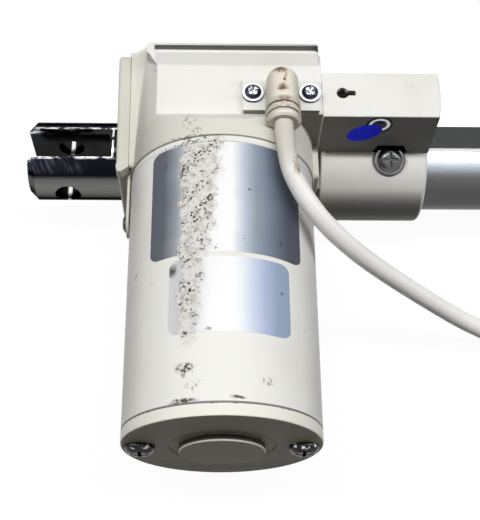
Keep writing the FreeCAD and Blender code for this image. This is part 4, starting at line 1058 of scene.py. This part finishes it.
CABLE_ROUTE = [
    mm(84.7, -8.8, 54.6),
    mm(84.7, -31.0, 54.6),
    mm(90.6, -44.7, 51.6),
    mm(100.0, -54.0, 44.2),
    mm(114.5, -60.2, 31.1),
    mm(138.0, -64.8, 9.9),
    mm(164.0, -70.1, -10.8),
    mm(188.0, -75.0, -19.25),
]
CABLE_TAIL = [mm(246.0, -76.0, -12.25), mm(263.5, -76.0, -18.0), mm(276.0, -76.0, -18.0)]


class ACTUATOR_OT_cable(bpy.types.Operator):
    """Cable from the elbow to the coil on the floor, with its tie and plug"""

    bl_idname = "actuator.cable"
    bl_label = "Cable"

    def execute(self, context):
        sizes, colours = settings(context)
        points = CABLE_ROUTE + self.coil(sizes) + CABLE_TAIL
        data = bpy.data.curves.new("cable", "CURVE")
        data.dimensions = "3D"
        data.bevel_depth = sizes.cable_d / 2
        data.bevel_resolution = 6
        data.use_fill_caps = True
        spline = data.splines.new("NURBS")
        spline.points.add(len(points) - 1)
        for place, point in zip(points, spline.points):
            point.co = (*place, 1.0)
        spline.order_u = 3
        spline.use_endpoint_u = True
        spline.resolution_u = 8
        cable = bpy.data.objects.new("cable", data)
        context.scene.collection.objects.link(cable)
        data.materials.append(cable_jacket(colours))
        black = plain("plug_plastic_finish", (0.045, 0.045, 0.048), 0.5)
        pale = plain("tie_plastic_finish", (0.62, 0.62, 0.6), 0.35)
        plug = dressed("cable_plug", black, sizes.turned_edge)
        tie = dressed("cable_tie", pale, sizes.sheet_edge)
        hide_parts("cable_run", "cable_coil", "cable_tail")
        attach(cable, HOUSING)
        return {"FINISHED"}

    def coil(self, sizes):
        """Control points of a coil that winds inwards in the lower layer and outwards in the upper one."""
        steps = 16
        # Control points lie a little outside the circle that the curve follows
        reach = 2 / (1 + math.cos(math.tau / steps) * 0.5 + 0.5)
        centre = Vector((sizes.coil_x, sizes.coil_entry_y - sizes.coil_outer_r, sizes.coil_z))
        points = []
        for i in range(2 * sizes.coil_turns * steps + 1):
            turns = i / steps
            inward = min(turns, 2 * sizes.coil_turns - turns)
            radius = (sizes.coil_outer_r - sizes.cable_d * inward) * reach
            climb = min(1.0, max(0.0, (turns - sizes.coil_turns + 0.05) / 0.15))
            angle = math.tau * turns
            step = Vector((radius * math.sin(angle), radius * math.cos(angle), sizes.cable_d * climb))
            points.append(centre + step)
        return points


MOTOR_AXIS = mm(62.6, 0, 20.5)
WEB_RADIUS = 33.3 * MM
WEB_FOOT = mm(0, 0, 50.75)
WEB_WALL = 0.5 * MM
SLOPE = -0.878
SLOPE_Y = -11.37 * MM
SLOPE_Z = 50.9 * MM


class ACTUATOR_OT_housing(bpy.types.Operator):
    """Gear housing and rear cover"""

    bl_idname = "actuator.housing"
    bl_label = "Gear housing"

    def execute(self, context):
        sizes, colours = settings(context)
        plastic = housing_plastic(colours)
        cream = moulded("cover_plastic_finish", colours.cream, (0.62, 0.59, 0.50), colours.dirt).painted()
        dressed("gear_housing", plastic, sizes.moulded_edge)
        self.shoulder_web(plastic)
        dressed("rear_cover", cream, sizes.moulded_edge)
        return {"FINISHED"}

    def shoulder_web(self, material):
        """A thin wall that closes the slope under the neck's top, where the motor's bore runs out."""
        web = disc("shoulder_web", 192, WEB_RADIUS, MOTOR_AXIS, (math.pi / 2, 0, 0))
        bpy.ops.object.transform_apply()
        edit(web)
        bpy.ops.mesh.bisect(plane_co=WEB_FOOT, plane_no=(0, 0, 1), clear_inner=True)
        done()
        for v in web.data.vertices:
            v.co.y = SLOPE_Y + SLOPE * (v.co.z - SLOPE_Z)
        modify(web, "SOLIDIFY", thickness=WEB_WALL, offset=1)
        edit(web)
        bpy.ops.mesh.normals_make_consistent(inside=False)
        done()
        web.data.materials.append(material)
        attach(web, HOUSING)


class ACTUATOR_OT_motor(bpy.types.Operator):
    """Motor bracket, can and end cap"""

    bl_idname = "actuator.motor"
    bl_label = "Motor"

    def execute(self, context):
        sizes, colours = settings(context)
        paint = motor_paint(colours)
        dressed("motor_bracket", paint, sizes.turned_edge)
        dressed("motor_can", paint, sizes.turned_edge)
        dressed("motor_end_cap", cap_paint(colours), sizes.turned_edge)
        return {"FINISHED"}


# Name, finish, painted sheen, and the reach along the stroke and along the motor in millimetres
LABELS = (
    ("upper_label", "upper_foil", UPPER_PAINTED_SHEEN, (37.4, 90.0), (-69.5, -25.6)),
    ("lower_label", "lower_foil", LOWER_PAINTED_SHEEN, (44.4, 85.4), (-98.7, -71.3)),
)
STICKER_AT = mm(117.2, -8.3, 35.5)
STICKER_TURN = math.radians(34)


class ACTUATOR_OT_labels(bpy.types.Operator):
    """Two bare foil labels on the motor and the oval sticker on the switch box"""

    bl_idname = "actuator.labels"
    bl_label = "Labels"

    def execute(self, context):
        sizes, colours = settings(context)
        for name, film, painted_sheen, across, down in LABELS:
            self.label(name, across, down, foil(film, painted_sheen, colours), sizes)
        self.sticker(sticker_film(colours), sizes)
        return {"FINISHED"}

    def label(self, name, across, down, material, sizes):
        """A sheet with round corners, cut into strips and laid round the can."""
        strips = 48
        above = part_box("motor_can")[1].z / MM + 5
        bpy.ops.object.select_all(action="DESELECT")
        bpy.ops.mesh.primitive_plane_add(size=1, location=mm(sum(across) / 2, sum(down) / 2, above))
        sheet = bpy.context.active_object
        sheet.name = name
        edit(sheet)
        wide, tall = across[1] - across[0], down[1] - down[0]
        bpy.ops.transform.resize(value=(wide * MM, tall * MM, 1))
        bpy.ops.mesh.bevel(offset=sizes.label_corner, segments=6, affect="VERTICES")
        for i in range(1, strips):
            bpy.ops.mesh.select_all(action="SELECT")
            at = (across[0] + wide * i / strips) * MM
            bpy.ops.mesh.bisect(plane_co=(at, 0, 0), plane_no=(1, 0, 0))
        done()
        only(sheet)
        bpy.ops.object.transform_apply()
        modify(
            sheet,
            "SHRINKWRAP",
            target=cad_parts["motor_can"],
            wrap_method="PROJECT",
            use_project_z=True,
            use_negative_direction=True,
            use_positive_direction=False,
            offset=sizes.label_lift / 2,
        )
        self.thicken(sheet, material, "screw_steel", sizes)

    def sticker(self, material, sizes):
        oval = disc("oval_sticker", 64, 1, STICKER_AT, (math.pi / 2, -STICKER_TURN, 0))
        oval.scale = (sizes.sticker_long, sizes.sticker_short, 1)
        bpy.ops.object.transform_apply()
        self.thicken(oval, material, "tie_plastic", sizes)

    def thicken(self, sheet, material, slot, sizes):
        modify(sheet, "SOLIDIFY", thickness=sizes.label_lift, offset=0)
        smooth(sheet)
        sheet.data.materials.append(material)
        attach(sheet, HOUSING)


class ACTUATOR_OT_clevises(bpy.types.Operator):
    """Rear and front clevis"""

    bl_idname = "actuator.clevises"
    bl_label = "Clevises"

    def execute(self, context):
        sizes, colours = settings(context)
        steel = clevis_steel(colours)
        dressed("rear_clevis", steel, sizes.turned_edge)
        dressed("front_clevis", steel, sizes.turned_edge, ROD)
        return {"FINISHED"}


class ACTUATOR_OT_tube(bpy.types.Operator):
    """Outer tube, its end cap, inner rod and wiper"""

    bl_idname = "actuator.tube"
    bl_label = "Tube and rod"

    def execute(self, context):
        sizes = settings(context)[0]
        dressed("outer_tube", tube_aluminium(), sizes.turned_edge)
        dressed("tube_end_cap", bpy.data.materials["ivory_plastic_finish"], sizes.moulded_edge)
        chrome = brushed("rod_chrome_finish", (0.55, 0.56, 0.58), 0.14)
        dressed("inner_rod", chrome, sizes.turned_edge, ROD)
        coat(plain("wiper_rubber_finish", grey(0.03), 0.7), "rod_wiper")
        return {"FINISHED"}


class ACTUATOR_OT_collar(bpy.types.Operator):
    """Tube collar with its switch box"""

    bl_idname = "actuator.collar"
    bl_label = "Collar"

    def execute(self, context):
        sizes, colours = settings(context)
        dressed("tube_collar", collar_plastic(colours), sizes.turned_edge)
        return {"FINISHED"}


class ACTUATOR_OT_outlet(bpy.types.Operator):
    """Outlet plate and cable elbow"""

    bl_idname = "actuator.outlet"
    bl_label = "Cable outlet"

    def execute(self, context):
        sizes, colours = settings(context)
        dressed("outlet_plate", bpy.data.materials["ivory_plastic_finish"], sizes.sheet_edge)
        dressed("cable_elbow", elbow_plastic(colours), sizes.sheet_edge)
        return {"FINISHED"}


class ACTUATOR_OT_fasteners(bpy.types.Operator):
    """Screws and washers"""

    bl_idname = "actuator.fasteners"
    bl_label = "Fasteners"

    def execute(self, context):
        sizes, colours = settings(context)
        dark = plated("screw_steel_finish", colours.chrome, colours.painted_glint).painted()
        screw = plated("collar_screw_finish", (0.10, 0.104, 0.104), colours.painted_glint, 0.25).painted()
        washer = plated("collar_washer_finish", grey(0.16), grey(0.5), 0.3, 0.6).painted()
        for node in ("motor_side_screw", "rear_cover_screws", "flange_screws", "end_cap_screws"):
            dressed(node, dark, sizes.sheet_edge)
        dressed("motor_cap_bolts", bolt_steel(colours), sizes.sheet_edge)
        dressed("outlet_screws", outlet_screw_steel(colours), sizes.sheet_edge)
        dressed("outlet_washers", washer_zinc(colours), sizes.sheet_edge)
        dressed("collar_screw", screw, sizes.sheet_edge)
        dressed("collar_washer", washer, sizes.sheet_edge)
        return {"FINISHED"}


# Finish, colour, roughness, metallic, and the nodes that are shown in it
INNER_FINISHES = (
    ("wheel_plastic_finish", (0.68, 0.66, 0.58), 0.45, 0.0, ["worm_wheel"]),
    ("nut_plastic_finish", (0.05, 0.05, 0.055), 0.5, 0.0, ["drive_nut", "guide_bush"]),
    (
        "bush_bronze_finish",
        (0.42, 0.25, 0.10),
        0.35,
        1.0,
        ["motor_drive_bearing", "motor_tail_bush", "worm_end_bush"],
    ),
    ("ferrite_finish", (0.035, 0.035, 0.037), 0.6, 0.0, ["motor_magnets"]),
    ("core_steel_finish", (0.22, 0.22, 0.23), 0.45, 1.0, ["armature_core"]),
    ("copper_finish", (0.55, 0.24, 0.12), 0.3, 1.0, ["armature_windings", "commutator"]),
    ("carbon_finish", (0.02, 0.02, 0.02), 0.75, 0.0, ["motor_brushes"]),
    ("dark_plastic_finish", (0.03, 0.03, 0.032), 0.5, 0.0, ["brush_holder", "limit_switches"]),
    ("circuit_board_finish", (0.03, 0.16, 0.07), 0.4, 0.0, ["switch_board"]),
)


class ACTUATOR_OT_inner_parts(bpy.types.Operator):
    """Finishes of the gear train, the motor's inner pieces, the front cross pin and the switch board"""

    bl_idname = "actuator.inner_parts"
    bl_label = "Inner parts"

    def execute(self, context):
        machined = brushed("machined_steel_finish", (0.42, 0.42, 0.43), 0.28)
        coat(machined, "spindle", "wheel_key", "motor_shaft", "bearing_retainer", "front_cross_pin")
        ground = brushed("bearing_steel_finish", (0.5, 0.5, 0.51), 0.18)
        for end in ("rear", "front"):
            coat(ground, end + "_bearing_inner", end + "_bearing_outer")
        for name, base, roughness, metallic, nodes in INNER_FINISHES:
            coat(plain(name, base, roughness, metallic), *nodes)
        return {"FINISHED"}


class ACTUATOR_PT_panel(bpy.types.Panel):
    """Lists the steps of the actuator"""

    bl_idname = "ACTUATOR_PT_panel"
    bl_label = "Linear actuator"
    bl_space_type = "VIEW_3D"
    bl_region_type = "UI"
    bl_category = "Actuator"

    def draw(self, context):
        for step in STEPS:
            self.layout.operator(step.bl_idname)


STEPS = (
    ACTUATOR_OT_stage,
    ACTUATOR_OT_cable,
    ACTUATOR_OT_housing,
    ACTUATOR_OT_motor,
    ACTUATOR_OT_labels,
    ACTUATOR_OT_clevises,
    ACTUATOR_OT_tube,
    ACTUATOR_OT_collar,
    ACTUATOR_OT_outlet,
    ACTUATOR_OT_fasteners,
    ACTUATOR_OT_inner_parts,
)
GROUPS = {
    "actuator_sizes": ActuatorSizes,
    "actuator_colours": ActuatorColours,
    "actuator_stage": ActuatorStage,
}
CLASSES = (*GROUPS.values(), *STEPS, ACTUATOR_PT_panel)


def register():
    for each in CLASSES:
        bpy.utils.register_class(each)
    for name, properties in GROUPS.items():
        setattr(bpy.types.Scene, name, PointerProperty(type=properties))


def unregister():
    for name in GROUPS:
        delattr(bpy.types.Scene, name)
    for each in reversed(CLASSES):
        bpy.utils.unregister_class(each)


def main():
    register()
    bpy.ops.actuator.stage()
    bpy.ops.actuator.cable()
    bpy.ops.actuator.housing()
    bpy.ops.actuator.motor()
    bpy.ops.actuator.labels()
    bpy.ops.actuator.clevises()
    bpy.ops.actuator.tube()
    bpy.ops.actuator.collar()
    bpy.ops.actuator.outlet()
    bpy.ops.actuator.fasteners()
    bpy.ops.actuator.inner_parts()


if __name__ == "__main__":
    main()
